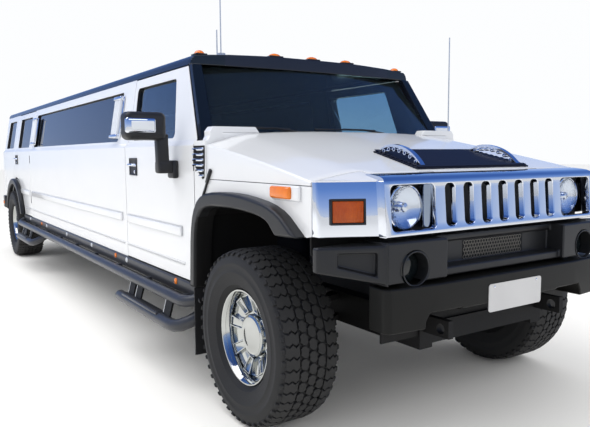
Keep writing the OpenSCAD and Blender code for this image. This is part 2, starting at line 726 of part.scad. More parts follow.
module underbody() {
    color("gray") {
        // Propeller shaft, then tank and silencer hung under the cross members
        translate([rx + 220, 0, cross_z0 - 24]) rotate([0, 90, 0]) cylinder(r = 22, h = wheelbase - 1320);
        bar(fx - 1100, -110, cross_z0 - 90, fx - 900, 110, cross_z0);
        bar(rx + 900, 60, 300, rx + 2280, 340, cross_z0);
        bar(fx - 2400, -340, 330, fx - 1020, -120, cross_z0);
    }
}

module rim() {
    well = rim_r - 46;
    translate([0, 0, 0]) rotate([-90, 0, 0]) difference() {
        rotate_extrude() polygon([
            [spindle_r + spindle_clear, -34], [78, -34], [78, 6], [well - 14, 22], [rim_r - 14, -rim_half + 8],
            [rim_r + rim_lip, -rim_half], [rim_r + rim_lip, -rim_half + 11], [rim_r, -rim_half + 14],
            [rim_r, rim_half - 14], [rim_r + rim_lip, rim_half - 11], [rim_r + rim_lip, rim_half],
            [rim_r - 14, rim_half - 8], [well, 44], [96, 36], [70, hub_face], [spindle_r + spindle_clear, hub_face]]);
        for (i = [0:7]) rotate([0, 0, 45 * i]) translate([(78 + well) / 2 + 4, 0, -60]) cylinder(r = 25, h = 150);
    }
}
module tyre() {
    half = tyre_w / 2;
    bead = rim_half - 14;
    rotate([-90, 0, 0]) rotate_extrude() polygon([
        [rim_r, -bead], [rim_r + rim_lip + 1, -bead - 3], [rim_r + 75, -half], [tyre_r - 70, -half],
        [tyre_r - 14, -half + 16], [tyre_r, -half + 38], [tyre_r, half - 38], [tyre_r - 14, half - 16],
        [tyre_r - 70, half], [rim_r + 75, half], [rim_r + rim_lip + 1, bead + 3], [rim_r, bead]]);
}
module at_wheel(x, side) {
    if (side > 0) translate([x, wheel_y, axle_z]) children();
    else mirror([0, 1, 0]) translate([x, wheel_y, axle_z]) children();
}
module rim_front_right() { color("silver") at_wheel(fx, -1) rim(); }
module rim_front_left() { color("silver") at_wheel(fx, 1) rim(); }
module rim_rear_right() { color("silver") at_wheel(rx, -1) rim(); }
module rim_rear_left() { color("silver") at_wheel(rx, 1) rim(); }
module tyre_front_right() { color("black") at_wheel(fx, -1) tyre(); }
module tyre_front_left() { color("black") at_wheel(fx, 1) tyre(); }
module tyre_rear_right() { color("black") at_wheel(rx, -1) tyre(); }
module tyre_rear_left() { color("black") at_wheel(rx, 1) tyre(); }

// Cabin

seat_z = sill_z + floor_t;
module seat(x, y0, y1) {
    along_y(y0, y1) polygon([[x - 500, seat_z], [x - 30, seat_z], [x, seat_z + 200], [x - 10, seat_z + 330],
                             [x - 370, seat_z + 300], [x - 470, seat_z + 860], [x - 560, seat_z + 850],
                             [x - 540, seat_z + 200]]);
}
module seats() {
    bench_x0 = rx + 640;
    bench_x1 = partition_x - 620;
    color([0.2, 0.19, 0.18]) {
        both_sides() seat(front_door_x0 + 610, 170, 720);
        // Long bench down the left side and a rear bench across
        along_x(bench_x0, bench_x1) polygon([[330, seat_z], [floor_y - 20, seat_z], [floor_y - 40, seat_z + 700],
                                             [floor_y - 130, seat_z + 700], [floor_y - 200, seat_z + 330],
                                             [330, seat_z + 350]]);
        seat(rx - 130, -640, 640);
    }
}

module steering_wheel() {
    color("black") difference() {
        translate([dash_x0 - 110, 440, 1240]) rotate([0, -65, 0]) {
            rotate_extrude() translate([180, 0]) circle(r = 14);
            cylinder(r = 55, h = 24, center = true);
            for (a = [0, 120, 240]) rotate([0, 0, a + 60]) translate([0, -16, -7]) cube([180, 32, 14]);
            translate([0, 0, -260]) cylinder(r = 26, h = 255);
        }
        bar(dash_x0, 0, 0, dash_x0 + 600, 900, 2000);
    }
}

module antennas() {
    whip_y = -600;
    roof_at = roof_z - 10.2;
    color("black") {
        translate([hood_rear_x - 30, side_y - 60, pad_top_z + seat_gap]) cylinder(r = 4, h = 646);
        translate([fx - 985, whip_y, roof_at]) cylinder(r = 4, h = 455);
        translate([fx - 985, whip_y, roof_at]) cylinder(r = 28, h = 30);
        translate([fx - 1060, whip_y + 10, roof_at]) cylinder(r = 4, h = 190);
    }
}

module coach_lamps() {
    low = 1445;
    high = 1775;
    out = 42;
    color("silver") both_sides() for (x = [mid_x1 - 375, mid_x0 + 60])
        along_x(x, x + 195) polygon([[side_at(low) + seat_gap, low], [side_at(high) + seat_gap, high],
                                     [side_at(high) + out, high - 20],
                                     [side_at(low) + out, low + 20]]);
}

// Hood, doors and tailgate

nose_step_x = chrome_end_x - panel_gap;
module hood_station(x, top, crown, ear, d) {
    low = hood_seam_z - (d > 0 ? 40 : 0);
    along_x(x, x + 0.5) polygon(across([[side_y - d * 1.4, low], [side_y - d * 1.4 - 6, ear - d],
                                        [hood_shoulder_y - d, ear + (top - ear) * 0.32 - d],
                                        [hood_plateau_y - d, top - d], [hood_plateau_y * 0.4, top + crown * 0.8 - d]]));
}
module hood_form(x0, x1, d) {
    hull() {
        hood_station(x1 - 0.5, hood_front_z, 4, hood_seam_z + 4 + (d > 0 ? d : 0), d);
        hood_station((x0 + x1) / 2, (hood_front_z + hood_rear_z) / 2 + 4, 24,
                     (hood_seam_z + hood_ear_z) / 2 + 12, d);
        hood_station(x0, hood_rear_z, 24, hood_ear_z, d);
    }
}
module hood() {
    color("white") difference() {
        hood_form(hood_rear_x, hood_front_x, 0);
        hood_form(hood_rear_x + hood_t, hood_front_x - hood_t, hood_t);
        both_sides() bar(nose_step_x, grille_y - 30 - panel_gap, 0, hood_front_x + 50, side_y + 50, roof_z);
    }
}

louvre_t = 8;
module hood_louvre() {
    color("black") difference() {
        intersection() {
            translate([0, 0, seat_gap + louvre_t]) hood_form(hood_rear_x, hood_front_x, 0);
            linear_extrude(roof_z) polygon([[fx + 225, -366], [fx + 570, -400], [fx + 570, 400], [fx + 225, 366]]);
        }
        translate([0, 0, seat_gap]) hood_form(hood_rear_x, hood_front_x, 0);
        bar(fx, -500, 0, fx + 700, 500, hood_seam_z + 20);
    }
}

// Pins that carry the doors, the hood and the tailgate
pin_len = 90;
module hinge_pins() {
    color("dimgray") {
        both_sides() for (x = [front_door_x1, rear_door_x1]) for (z = [760, 1240])
            translate([x + panel_gap / 2, door_hinge_y, z]) cylinder(r = pin_r, h = pin_len);
        both_sides() translate([hood_hinge_x, 420, hood_hinge_z]) rotate([90, 0, 0]) cylinder(r = pin_r, h = pin_len);
        both_sides() translate([body_rear_x, 500, tail_hinge_z]) rotate([90, 0, 0]) cylinder(r = pin_r, h = pin_len);
    }
}

module front_door() {
    color("white") difference() {
        side_piece(front_door_line);
        side_cut(front_window);
        behind_edge(front_door_x0);
    }
}
module front_door_left() { front_door(); }
module front_door_right() { mirror([0, 1, 0]) front_door(); }
module front_door_glass_left() { color("black", 0.7) pane(front_window); }
module front_door_glass_right() { color("black", 0.7) mirror([0, 1, 0]) pane(front_window); }
module rear_door() {
    color("white") difference() {
        side_piece(rear_door_line);
        side_cut(rear_window);
        intersection() {
            behind_edge(rear_door_x0);
            bar(rear_door_x0 - 200, 0, door_arch_z, rear_door_x0 + 200, side_y + 30, roof_z);
        }
    }
}
module rear_door_left() { rear_door(); }
module rear_door_right() { mirror([0, 1, 0]) rear_door(); }
module rear_door_glass_left() { color("black", 0.7) pane(rear_window); }
module rear_door_glass_right() { color("black", 0.7) mirror([0, 1, 0]) pane(rear_window); }

mirror_x = fx - 860;
module mirror_arm() {
    color("black") {
        hull() {
            bar(mirror_x - 50, 1045, 1425, mirror_x + 20, 1292, 1567);
            bar(mirror_x - 20, 1055, 1413, mirror_x + 60, 1276, 1580);
        }
        hull() {
            bar(mirror_x - 55, side_y, 1190, mirror_x + 25, side_y + 30, 1296);
            bar(mirror_x - 45, side_y + 60, 1224, mirror_x + 18, side_y + 112, 1300);
        }
        hull() {
            bar(mirror_x - 40, side_y + 46, 1270, mirror_x + 15, side_y + 112, 1300);
            bar(mirror_x - 40, side_y + 52, 1420, mirror_x + 15, side_y + 120, 1430);
        }
    }
}
module mirror_left() { mirror_arm(); }
module mirror_right() { mirror([0, 1, 0]) mirror_arm(); }

tail_line = across([[tail_half, tail_low_z], [tail_half, belt_z - 4], [tail_half - 79, door_top_z]]);
tail_window = rounded([[-tail_half + 110, window_low_z + 10], [tail_half - 110, window_low_z + 10],
                       [tail_half - 160, window_high_z - 20], [-tail_half + 160, window_high_z - 20]], 30);
module tailgate() {
    color("white") difference() {
        along_x(body_rear_x, body_rear_x + wall_t) polygon(tail_line);
        along_x(body_rear_x - 10, body_rear_x + wall_t + 10) polygon(tail_window);
    }
}
module tailgate_glass() {
    color("black", 0.7) along_x(body_rear_x + 20, body_rear_x + 20 + glass_t) polygon(tail_window);
}

frame_rails();
floor_pan();
roof_panel();
mid_side_panels();
rear_quarter_panels();
windscreen_frame();
windscreen();
partition();
dashboard();
front_fenders();
grille_shell();
grille_back();
headlamps();
amber_lamps();
front_bumper();
rear_bumper();
hitch_receiver();
tow_loops();
tail_lamps();
fixed_side_glass();
wheel_arch_flares();
side_steps();
mud_flaps();
engine_block();
front_suspension();
rear_axle();
underbody();
seats();
steering_wheel();
antennas();
coach_lamps();
hinge_pins();
hood();
hood_louvre();
front_door_left();
front_door_right();
front_door_glass_left();
front_door_glass_right();
mirror_left();
mirror_right();
rear_door_left();
rear_door_right();
rear_door_glass_left();
rear_door_glass_right();
tailgate();
tailgate_glass();
knuckle_left();
knuckle_right();
rim_front_right();
rim_front_left();
rim_rear_right();
rim_rear_left();
tyre_front_right();
tyre_front_left();
tyre_rear_right();
tyre_rear_left();
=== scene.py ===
import json
import math
import bpy
import bmesh
from mathutils import Matrix, Vector

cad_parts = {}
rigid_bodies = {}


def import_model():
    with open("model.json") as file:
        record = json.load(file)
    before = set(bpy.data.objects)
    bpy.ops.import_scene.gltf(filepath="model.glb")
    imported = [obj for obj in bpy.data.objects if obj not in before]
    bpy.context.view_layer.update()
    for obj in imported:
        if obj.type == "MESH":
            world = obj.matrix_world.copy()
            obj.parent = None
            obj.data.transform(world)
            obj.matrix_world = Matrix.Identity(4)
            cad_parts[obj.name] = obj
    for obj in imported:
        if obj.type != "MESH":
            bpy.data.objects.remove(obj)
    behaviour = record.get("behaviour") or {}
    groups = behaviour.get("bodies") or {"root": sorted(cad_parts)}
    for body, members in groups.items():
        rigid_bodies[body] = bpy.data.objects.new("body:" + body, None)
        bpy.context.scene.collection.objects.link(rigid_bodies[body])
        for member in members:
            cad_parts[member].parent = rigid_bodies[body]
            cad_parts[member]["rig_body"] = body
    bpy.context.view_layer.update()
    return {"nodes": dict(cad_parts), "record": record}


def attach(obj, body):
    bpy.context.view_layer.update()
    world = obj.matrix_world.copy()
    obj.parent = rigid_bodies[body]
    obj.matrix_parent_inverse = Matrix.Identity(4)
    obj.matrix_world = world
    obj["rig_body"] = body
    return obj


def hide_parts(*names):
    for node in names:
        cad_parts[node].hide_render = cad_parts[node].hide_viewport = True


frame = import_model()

scene = bpy.context.scene
nodes = frame["nodes"]
frontAxle = 3.310   # along the car, metres
rearAxle = -3.050
axleHeight = 0.436
wheelOut = 0.882
sideWall = 0.975
bothSides = (("right", -1), ("left", 1))
flips = {sign: Matrix.Diagonal((1, sign, 1, 1)) for sideName, sign in bothSides}
print("frame loaded")


def addNode(tree, kind, values=None):
    node = tree.nodes.new("ShaderNode" + kind)
    for socket, value in (values or {}).items():
        node.inputs[socket].default_value = value
    return node


def linkNoise(tree, scale, detail):
    coords = addNode(tree, "TexCoord")
    noise = addNode(tree, "TexNoise", {"Scale": scale, "Detail": detail})
    tree.links.new(coords.outputs["Object"], noise.inputs["Vector"])
    return noise.outputs["Fac"]


shaderKeys = {"Metallic": ("metal", 0.0), "Coat Weight": ("coat", 0.0), "Transmission Weight": ("through", 0.0),
              "IOR": ("ior", 1.5), "Alpha": ("alpha", 1.0), "Sheen Weight": ("sheen", 0.0),
              "Specular IOR Level": ("gloss", 0.5)}


def makeFinish(name, look):
    mat = bpy.data.materials.new(name)
    mat.use_nodes = True
    tree = mat.node_tree
    shader = tree.nodes["Principled BSDF"]
    for socket, (key, usual) in shaderKeys.items():
        shader.inputs[socket].default_value = look.get(key, usual)
    colour = look["colour"]
    if "glow" in look:
        shader.inputs["Emission Color"].default_value = (*colour, 1)
        shader.inputs["Emission Strength"].default_value = look["glow"]
    wide = linkNoise(tree, look.get("mottleScale", 2.5), 3)
    mix = addNode(tree, "Mix", {6: (*colour, 1), 7: (*look.get("shade", [c * 0.93 for c in colour]), 1)})
    mix.data_type = "RGBA"
    tree.links.new(wide, mix.inputs[0])
    tree.links.new(mix.outputs[2], shader.inputs["Base Color"])
    fine = linkNoise(tree, look.get("grain", 60), 4)
    vary = look.get("roughVary", 0.03)
    rough = addNode(tree, "MapRange", {"To Min": look["rough"] - vary, "To Max": look["rough"] + vary})
    tree.links.new(fine, rough.inputs["Value"])
    tree.links.new(rough.outputs["Result"], shader.inputs["Roughness"])
    if "bump" in look:
        bump = addNode(tree, "Bump", {"Strength": look["bump"], "Distance": look.get("depth", 0.001)})
        if "ribs" in look:   # moulded ribs in lamp lenses
            coords = addNode(tree, "TexCoord")
            ribs = addNode(tree, "TexWave", {"Scale": look["ribs"]})
            ribs.bands_direction = look.get("ribAxis", "Y")
            tree.links.new(coords.outputs["Object"], ribs.inputs["Vector"])
            fine = ribs.outputs["Fac"]
        tree.links.new(fine, bump.inputs["Height"])
        tree.links.new(bump.outputs["Normal"], shader.inputs["Normal"])
    return mat


finishes = {name: makeFinish(name, look) for name, look in {
    "whitePaint": dict(colour=(0.72, 0.73, 0.752), shade=(0.69, 0.70, 0.726), rough=0.26, coat=0.5, grain=240,
        bump=0.02, depth=0.0006),
    "roofPaint": dict(colour=(0.008, 0.010, 0.018), shade=(0.012, 0.014, 0.024), rough=0.16, gloss=0.4, grain=200,
        bump=0.02, depth=0.0005),
    "chrome": dict(colour=(0.72, 0.75, 0.80), shade=(0.64, 0.67, 0.73), rough=0.055, metal=1.0, roughVary=0.025,
        grain=18),
    # darker chrome for the rims, a painted reflection of dark grass
    "rimChromeGrassReflection": dict(colour=(0.50, 0.51, 0.50), shade=(0.42, 0.43, 0.41), rough=0.07, metal=1.0, grain=22),
    # chrome tinted dark blue as a painted reflection of the sky
    "lampChrome": dict(colour=(0.30, 0.36, 0.46), shade=(0.24, 0.29, 0.38), rough=0.08, metal=1.0, grain=18),
    "satinGrey": dict(colour=(0.014, 0.0145, 0.016), shade=(0.010, 0.0105, 0.012), rough=0.38, gloss=0.32,
        grain=420, bump=0.22, depth=0.0006, roughVary=0.06),
    "stepGrey": dict(colour=(0.036, 0.038, 0.045), shade=(0.026, 0.0275, 0.033), rough=0.34, gloss=0.42,
        grain=420, bump=0.22, depth=0.0006, roughVary=0.06),
    "chinBlack": dict(colour=(0.006, 0.006, 0.0055), shade=(0.009, 0.009, 0.008), rough=0.42, gloss=0.16,
        grain=300, bump=0.06, depth=0.0004, roughVary=0.06),
    "pillarBlack": dict(colour=(0.005, 0.007, 0.008), rough=0.07, roughVary=0.02, grain=90),
    "blackTrim": dict(colour=(0.011, 0.011, 0.012), shade=(0.016, 0.016, 0.018), rough=0.45, gloss=0.35, grain=500,
        bump=0.25, depth=0.0005, roughVary=0.06),
    "frameBlack": dict(colour=(0.005, 0.005, 0.0055), shade=(0.010, 0.0095, 0.009), rough=0.6, gloss=0.2, grain=120,
        bump=0.3, roughVary=0.1),
    "louvreBlack": dict(colour=(0.006, 0.008, 0.020), shade=(0.010, 0.012, 0.026), rough=0.5, gloss=0.15, grain=220,
        bump=0.1, depth=0.0004),
    "bareMetal": dict(colour=(0.22, 0.22, 0.23), shade=(0.14, 0.14, 0.145), rough=0.5, metal=0.8, grain=90,
        bump=0.3, roughVary=0.1),
    "aerialSteel": dict(colour=(0.50, 0.53, 0.58), shade=(0.42, 0.45, 0.50), rough=0.35, metal=0.5, roughVary=0.05),
    "wovenSteel": dict(colour=(0.17, 0.16, 0.14), shade=(0.11, 0.105, 0.095), rough=0.42, metal=0.7, grain=140,
        bump=0.1),
    "rubber": dict(colour=(0.012, 0.012, 0.0125), shade=(0.020, 0.0195, 0.019), rough=0.66, gloss=0.3, grain=160,
        bump=0.3, depth=0.0008, roughVary=0.08, mottleScale=9),
    # lighter rubber for the tops of the tread blocks: a painted highlight
    "treadRubber": dict(colour=(0.028, 0.0275, 0.027), shade=(0.020, 0.0195, 0.019), rough=0.72, gloss=0.3,
        grain=160, bump=0.3, depth=0.0008, roughVary=0.08, mottleScale=9),
    "darkGlass": dict(colour=(0.008, 0.010, 0.015), rough=0.03, roughVary=0.01, alpha=0.97, ior=2.1, grain=8),
    "clearGlass": dict(colour=(0.50, 0.66, 0.68), rough=0.02, roughVary=0.01, through=0.985, ior=1.3, grain=8),
    "doorGlass": dict(colour=(0.55, 0.72, 0.78), rough=0.02, roughVary=0.01, through=1.0, ior=1.6, grain=8),
    "lampGlass": dict(colour=(0.93, 0.95, 0.97), rough=0.03, roughVary=0.01, through=1.0, ior=1.25, grain=30,
        bump=0.25, ribs=26, depth=0.002),
    "amberLens": dict(colour=(0.80, 0.215, 0.006), shade=(0.56, 0.115, 0.003), rough=0.18, coat=0.2, grain=40,
        bump=0.35, ribs=42, depth=0.002, glow=0.06, mottleScale=26),
    "turnLens": dict(colour=(0.46, 0.085, 0.002), shade=(0.27, 0.035, 0.001), rough=0.20, gloss=0.4, grain=40,
        bump=0.6, ribs=60, depth=0.003, mottleScale=30),
    "redLens": dict(colour=(0.30, 0.006, 0.006), shade=(0.20, 0.004, 0.004), rough=0.2, gloss=0.4, coat=0.15,
        bump=0.35, ribs=40, depth=0.002, ribAxis="Z"),
    "whiteLens": dict(colour=(0.70, 0.73, 0.78), rough=0.22, coat=0.6, bump=0.6, ribs=30, ribAxis="X", depth=0.004),
    # grey for painted shade along the side's fold and the rub strip's top edge
    "foldGrey": dict(colour=(0.47, 0.48, 0.50), shade=(0.43, 0.44, 0.46), rough=0.35, grain=200, bump=0.04),
    "plateGrey": dict(colour=(0.56, 0.56, 0.57), shade=(0.44, 0.44, 0.45), rough=0.35, bump=0.05, mottleScale=4),
    "leather": dict(colour=(0.075, 0.068, 0.062), shade=(0.055, 0.05, 0.046), rough=0.5, grain=180, bump=0.35,
        sheen=0.1, mottleScale=6),
    "paleFloor": dict(colour=(0.97, 0.955, 0.93), shade=(0.96515, 0.950225, 0.92535), rough=0.9),
}.items()}
slotFinish = {"body_paint": "whitePaint", "roof_paint": "roofPaint", "chrome": "chrome", "bumper_grey": "satinGrey",
              "trim_black": "blackTrim", "frame_black": "frameBlack", "engine_metal": "bareMetal",
              "dark_glass": "darkGlass", "clear_glass": "clearGlass", "lamp_glass": "lampGlass",
              "amber_lens": "amberLens", "red_lens": "redLens", "tyre": "rubber", "leather": "leather"}
ownLook = {"partition": "pillarBlack", "antennas": "aerialSteel", "front_door_glass_left": "doorGlass",
           "front_door_glass_right": "doorGlass"}
nodeSlot = {part["node"]: part["material_slot"] for part in frame["record"]["subparts"]}
for nodeName, nodeObject in nodes.items():   # carried-over solids get the same finishes
    nodeObject.data.materials.clear()
    nodeObject.data.materials.append(finishes[ownLook.get(nodeName, slotFinish[nodeSlot[nodeName]])])
print("finishes made")


def shift(x, y, z):
    return Matrix.Translation((x, y, z))


def turned(degrees, axis):
    return Matrix.Rotation(math.radians(degrees), 4, axis)


forwardTurn = turned(-90, "Z")   # a shape made along +Y now faces +X


def placePiece(name, bm, looks, body="chassis", stands=(), sharpFrom=38):
    bmesh.ops.recalc_face_normals(bm, faces=bm.faces)
    for face in bm.faces:
        face.smooth = True
    for edge in bm.edges:
        edge.smooth = len(edge.link_faces) == 2 and edge.calc_face_angle(0) < math.radians(sharpFrom)
    mesh = bpy.data.meshes.new(name)
    bm.to_mesh(mesh)
    bm.free()
    for look in looks.split():
        mesh.materials.append(finishes[look])
    piece = bpy.data.objects.new(name, mesh)
    scene.collection.objects.link(piece)
    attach(piece, body)
    if stands:
        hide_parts(*stands)
    return piece


def joinPart(bm, part, move=None, look=0):
    if move is not None:
        bmesh.ops.transform(part, matrix=move, verts=part.verts)
        if move.determinant() < 0:
            bmesh.ops.reverse_faces(part, faces=part.faces)
    if look is not None:
        for face in part.faces:
            face.material_index = look
    scratch = bpy.data.meshes.new("scratch")
    part.to_mesh(scratch)
    part.free()
    bm.from_mesh(scratch)
    bpy.data.meshes.remove(scratch)


def bothHalves(half):   # the same parts on either side of the car
    bm = bmesh.new()
    for sideName, sign in bothSides:
        joinPart(bm, half.copy(), flips[sign], None)
    half.free()
    return bm


def placeSides(name, half, looks, body="chassis", stands=(), rightStands=()):   # one piece a side
    for sideName, sign in bothSides:
        bm = bmesh.new()
        joinPart(bm, half.copy(), flips[sign], None)
        replaced = [node.format(sideName) for node in stands] + list(rightStands if sign < 0 else ())
        placePiece(f"{name}_{sideName}", bm, looks, body.format(sideName), replaced)
    half.free()


def newVerts(geom):
    return [v for v in geom if isinstance(v, bmesh.types.BMVert)]


def sharpEdges(bm, over):
    return [e for e in bm.edges if e.calc_face_angle(0) > over]


def roundEdges(bm, edges, radius, segments=2, clamp=True):
    bmesh.ops.bevel(bm, geom=edges, offset=radius, segments=segments, profile=0.5, affect="EDGES",
                    clamp_overlap=clamp, material=-1)


def roundBox(low, high, radius=0.0, segments=2):
    bm = bmesh.new()
    bmesh.ops.create_cube(bm, size=1.0)
    low, high = Vector(low), Vector(high)
    bmesh.ops.scale(bm, vec=high - low, verts=bm.verts)
    bmesh.ops.translate(bm, vec=(low + high) / 2, verts=bm.verts)
    if radius:
        roundEdges(bm, bm.edges[:], radius, segments)
    return bm


def addBox(bm, low, high, radius=0.0, segments=2, move=None, look=0):
    joinPart(bm, roundBox(low, high, radius, segments), move, look)


def dishFace(bm, axis, margin, wall, deep):   # sinks the face that lies furthest along an axis
    face = max(bm.faces, key=lambda f: f.calc_center_median()[axis])
    bmesh.ops.inset_region(bm, faces=[face], thickness=margin, depth=0.0)
    bmesh.ops.inset_region(bm, faces=[face], thickness=wall, depth=-deep)


def drawOut(outline, move):   # a closed outline drawn out into a solid
    bm = bmesh.new()
    face = bm.faces.new([bm.verts.new(point) for point in outline])
    raised = newVerts(bmesh.ops.extrude_face_region(bm, geom=[face])["geom"])
    bmesh.ops.translate(bm, vec=move, verts=raised)
    bmesh.ops.recalc_face_normals(bm, faces=bm.faces)
    return bm


def skinRows(bm, rows, columns):   # faces between neighbouring rows of vertices, where all four are there
    for a, b in zip(rows, rows[1:]):
        for k in range(columns):
            after = (k + 1) % len(a)
            ring = (a[k], a[after], b[after], b[k])
            if all(ring):
                bm.faces.new(ring)


def latheRing(profile, steps):   # closed loop of (radius, along Y) pairs turned about Y
    bm = bmesh.new()
    verts = [bm.verts.new((r, y, 0)) for r, y in profile]
    edges = [bm.edges.new(pair) for pair in zip(verts, verts[1:] + verts[:1])]
    bmesh.ops.spin(bm, geom=verts + edges, cent=(0, 0, 0), axis=(0, 1, 0), angle=2 * math.pi, steps=steps,
                   use_merge=True, use_duplicate=False)
    bmesh.ops.remove_doubles(bm, verts=bm.verts, dist=1e-5)
    bmesh.ops.recalc_face_normals(bm, faces=bm.faces)
    return bm


def tubeAlong(points, radius, segments=10):
    bm = bmesh.new()
    rings = []
    points = [Vector(p) for p in points]
    last = len(points) - 1
    for i, point in enumerate(points):
        ahead = (points[min(i + 1, last)] - points[max(i - 1, 0)]).normalized()
        turn = Vector((0, 0, 1)).rotation_difference(ahead).to_matrix().to_4x4()
        rings.append(bmesh.ops.create_circle(bm, cap_ends=i in (0, last), segments=segments, radius=radius,
                                             matrix=Matrix.Translation(point) @ turn)["verts"])
    for pair in zip(rings, rings[1:]):
        edges = [e for e in bm.edges if any(e.verts[0] in ring and e.verts[1] in ring for ring in pair)]
        bmesh.ops.bridge_loops(bm, edges=edges)
    bmesh.ops.recalc_face_normals(bm, faces=bm.faces)
    return bm


flareSet = {"seam": 0.9765, "sunk": 0.956}
sidePanels = ("front_door_left", "front_door_right", "rear_door_left", "rear_door_right", "mid_side_panels",
              "rear_quarter_panels")
panelEdges = {**dict.fromkeys(sidePanels, 0.0035), "front_fenders": 0.004, "tailgate": 0.006, "front_bumper": 0.009,
              "rear_bumper": 0.012, "wheel_arch_flares": 0.016, "mud_flaps": 0.003, "dashboard": 0.02,
              "windscreen_frame": 0.005}


def facesIn(at, n):   # lining of a side panel, and painted shade on its edge faces in the door gaps: every face that does not look outwards
    return n.y * math.copysign(1, at.y) < 0.35 and not (at.x < -3.9 and n.x < -0.5)


def facesWell(at, n):   # the wing's inner wall and the lip over the wheel
    wall = abs(at.y) < 0.902 and at.z < 1.39
    return wall or ((abs(at.y) < 0.972 or abs(n.y) < 0.95) and at.z < 1.12 and 2.76 < at.x < 3.80)


secondLook = {   # where a panel carries a second finish: by the middle and the normal of each face
    **dict.fromkeys(sidePanels, ("blackTrim", facesIn)),
    "front_fenders": ("frameBlack", facesWell),
    "front_bumper": ("chinBlack", lambda at, n: at.z < 0.787),
    "windscreen_frame": ("pillarBlack", lambda at, n: n.x > 0.3 and abs(at.y) > 0.6),
    "wheel_arch_flares": ("frameBlack", lambda at, n: 2.7 < at.x < 2.86 and at.z < 0.98)}


def softNode(node, radius):   # a CAD panel with rounded edges
    bm = bmesh.new()
    bm.from_mesh(nodes[node].data)
    bmesh.ops.remove_doubles(bm, verts=bm.verts, dist=1e-5)
    bmesh.ops.dissolve_limit(bm, angle_limit=math.radians(0.5), use_dissolve_boundaries=False, verts=bm.verts,
                             edges=bm.edges)
    if node == "wheel_arch_flares":   # the front flares sink into the wings, so no rim shows beside the rounded edge
        for vert in bm.verts:
            if vert.co.x > 0 and abs(vert.co.y) < flareSet["seam"]:
                vert.co.y = math.copysign(flareSet["sunk"], vert.co.y)
    roundEdges(bm, sharpEdges(bm, math.radians(28)), radius, 3 if radius > 0.008 else 2, False)
    looks = slotFinish[nodeSlot[node]]
    if node in secondLook:
        second, chosen = secondLook[node]
        looks += " " + second
        for face in bm.faces:
            face.material_index = int(chosen(face.calc_center_median(), face.normal))
    piece = placePiece(node + "_skin", bm, looks, nodes[node]["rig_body"], [node], 30)
    piece.modifiers.new("evenShading", "WEIGHTED_NORMAL").keep_sharp = True


for nodeName, radius in panelEdges.items():
    softNode(nodeName, radius)
print("body panels rounded")


bonnetSet = {"along": (2.870, 3.3905, 3.910), "across": (0.29, 0.725, 0.905, 0.962), "nose": 0.703, "cut": 3.855,
             "skirt": 1.2005, "shoulder": 0.013, "thick": 0.012, "foot": 1.2075,
             "heights": ((1.4632, 1.4440, 1.4039, 1.3868), (1.3682, 1.3490, 1.3204, 1.3085),
                         (1.2492, 1.2440, 1.2185, 1.2080)),
             "lines": (0.0, 0.10, 0.20, 0.29, 0.38, 0.48, 0.58, 0.65, 0.703, 0.725, 0.77, 0.82, 0.87, 0.905, 0.93,
                       0.95),
             "tip": (3.874, 3.892, 3.910)}
bonnetRear, bonnetFront, nose, cut = *bonnetSet["along"][::2], bonnetSet["nose"], bonnetSet["cut"]


def bonnetAt(x, y):   # height of the bonnet's top over a place, smooth along and across
    a, b, c = bonnetSet["along"]
    shares = ((x - b) * (x - c) / ((a - b) * (a - c)), (x - a) * (x - c) / ((b - a) * (b - c)),
              (x - a) * (x - b) / ((c - a) * (c - b)))
    row = [sum(share * line[k] for share, line in zip(shares, bonnetSet["heights"])) for k in (0, 0, 1, 2, 3)]
    edge = (0.0, *bonnetSet["across"])
    y = abs(y)
    k = min(3, sum(y > e for e in edge[1:]))
    slopes = [0.0, *((row[j + 1] - row[j - 1]) / (edge[j + 1] - edge[j - 1]) for j in (1, 2, 3)),
              (row[4] - row[3]) / (edge[4] - edge[3])]
    wide = edge[k + 1] - edge[k]
    t = (y - edge[k]) / wide
    return ((2 * t ** 3 - 3 * t ** 2 + 1) * row[k] + (t ** 3 - 2 * t ** 2 + t) * wide * slopes[k]
            + (3 * t ** 2 - 2 * t ** 3) * row[k + 1] + (t ** 3 - t ** 2) * wide * slopes[k + 1])


def bonnetRow(x):   # one cross section from the right skirt over the top to the left skirt
    half = [(y, bonnetAt(x, y)) for y in bonnetSet["lines"]]
    edge, bend, foot = bonnetSet["across"][-1], bonnetSet["shoulder"], bonnetSet["skirt"]
    crown = bonnetAt(x, edge)
    for turn in range(6):
        angle = math.pi / 2 * turn / 5
        half.append((edge + bend * math.sin(angle), crown - bend * (1 - math.cos(angle))))
    half += [(sideWall, foot + (crown - bend - foot) * share) for share in (0.66, 0.33, 0.0)]
    return [(-y, z) for y, z in reversed(half[1:])] + half


bm = bmesh.new()
rows = []
for x in [bonnetRear + (cut - bonnetRear) * k / 20 for k in range(21)] + list(bonnetSet["tip"]):
    rows.append([bm.verts.new((x, y, z)) if x < cut + 0.001 or abs(y) < nose + 0.001 else None
                 for y, z in bonnetRow(x)])
skinRows(bm, rows, len(rows[0]) - 1)
bm.faces.new(rows[0])
foots = {sign: [bm.verts.new((x, sign * nose, bonnetSet["foot"])) for x in (cut, bonnetFront)] for sign in (1, -1)}
bm.faces.new([v for v in rows[-1] if v] + [foots[1][1], foots[-1][1]])
for sign in (1, -1):   # stepped front corners
    edge = [next(v for v in row if v and abs(v.co.y - sign * nose) < 1e-4) for row in rows[20:]]
    bm.faces.new(edge + foots[sign][::-1])
    bm.faces.new([v for v in rows[20][::sign] if v.co.y * sign > nose - 1e-4] + foots[sign][:1])
bmesh.ops.recalc_face_normals(bm, faces=bm.faces)
roundEdges(bm, sharpEdges(bm, 0.9), 0.004)
skin = set(bm.faces)
bmesh.ops.solidify(bm, geom=bm.faces[:], thickness=bonnetSet["thick"])
for face in bm.faces:
    face.material_index = int(face not in skin)
placePiece("bonnetSkin", bm, "whitePaint blackTrim", "hood", ["hood"], 30)

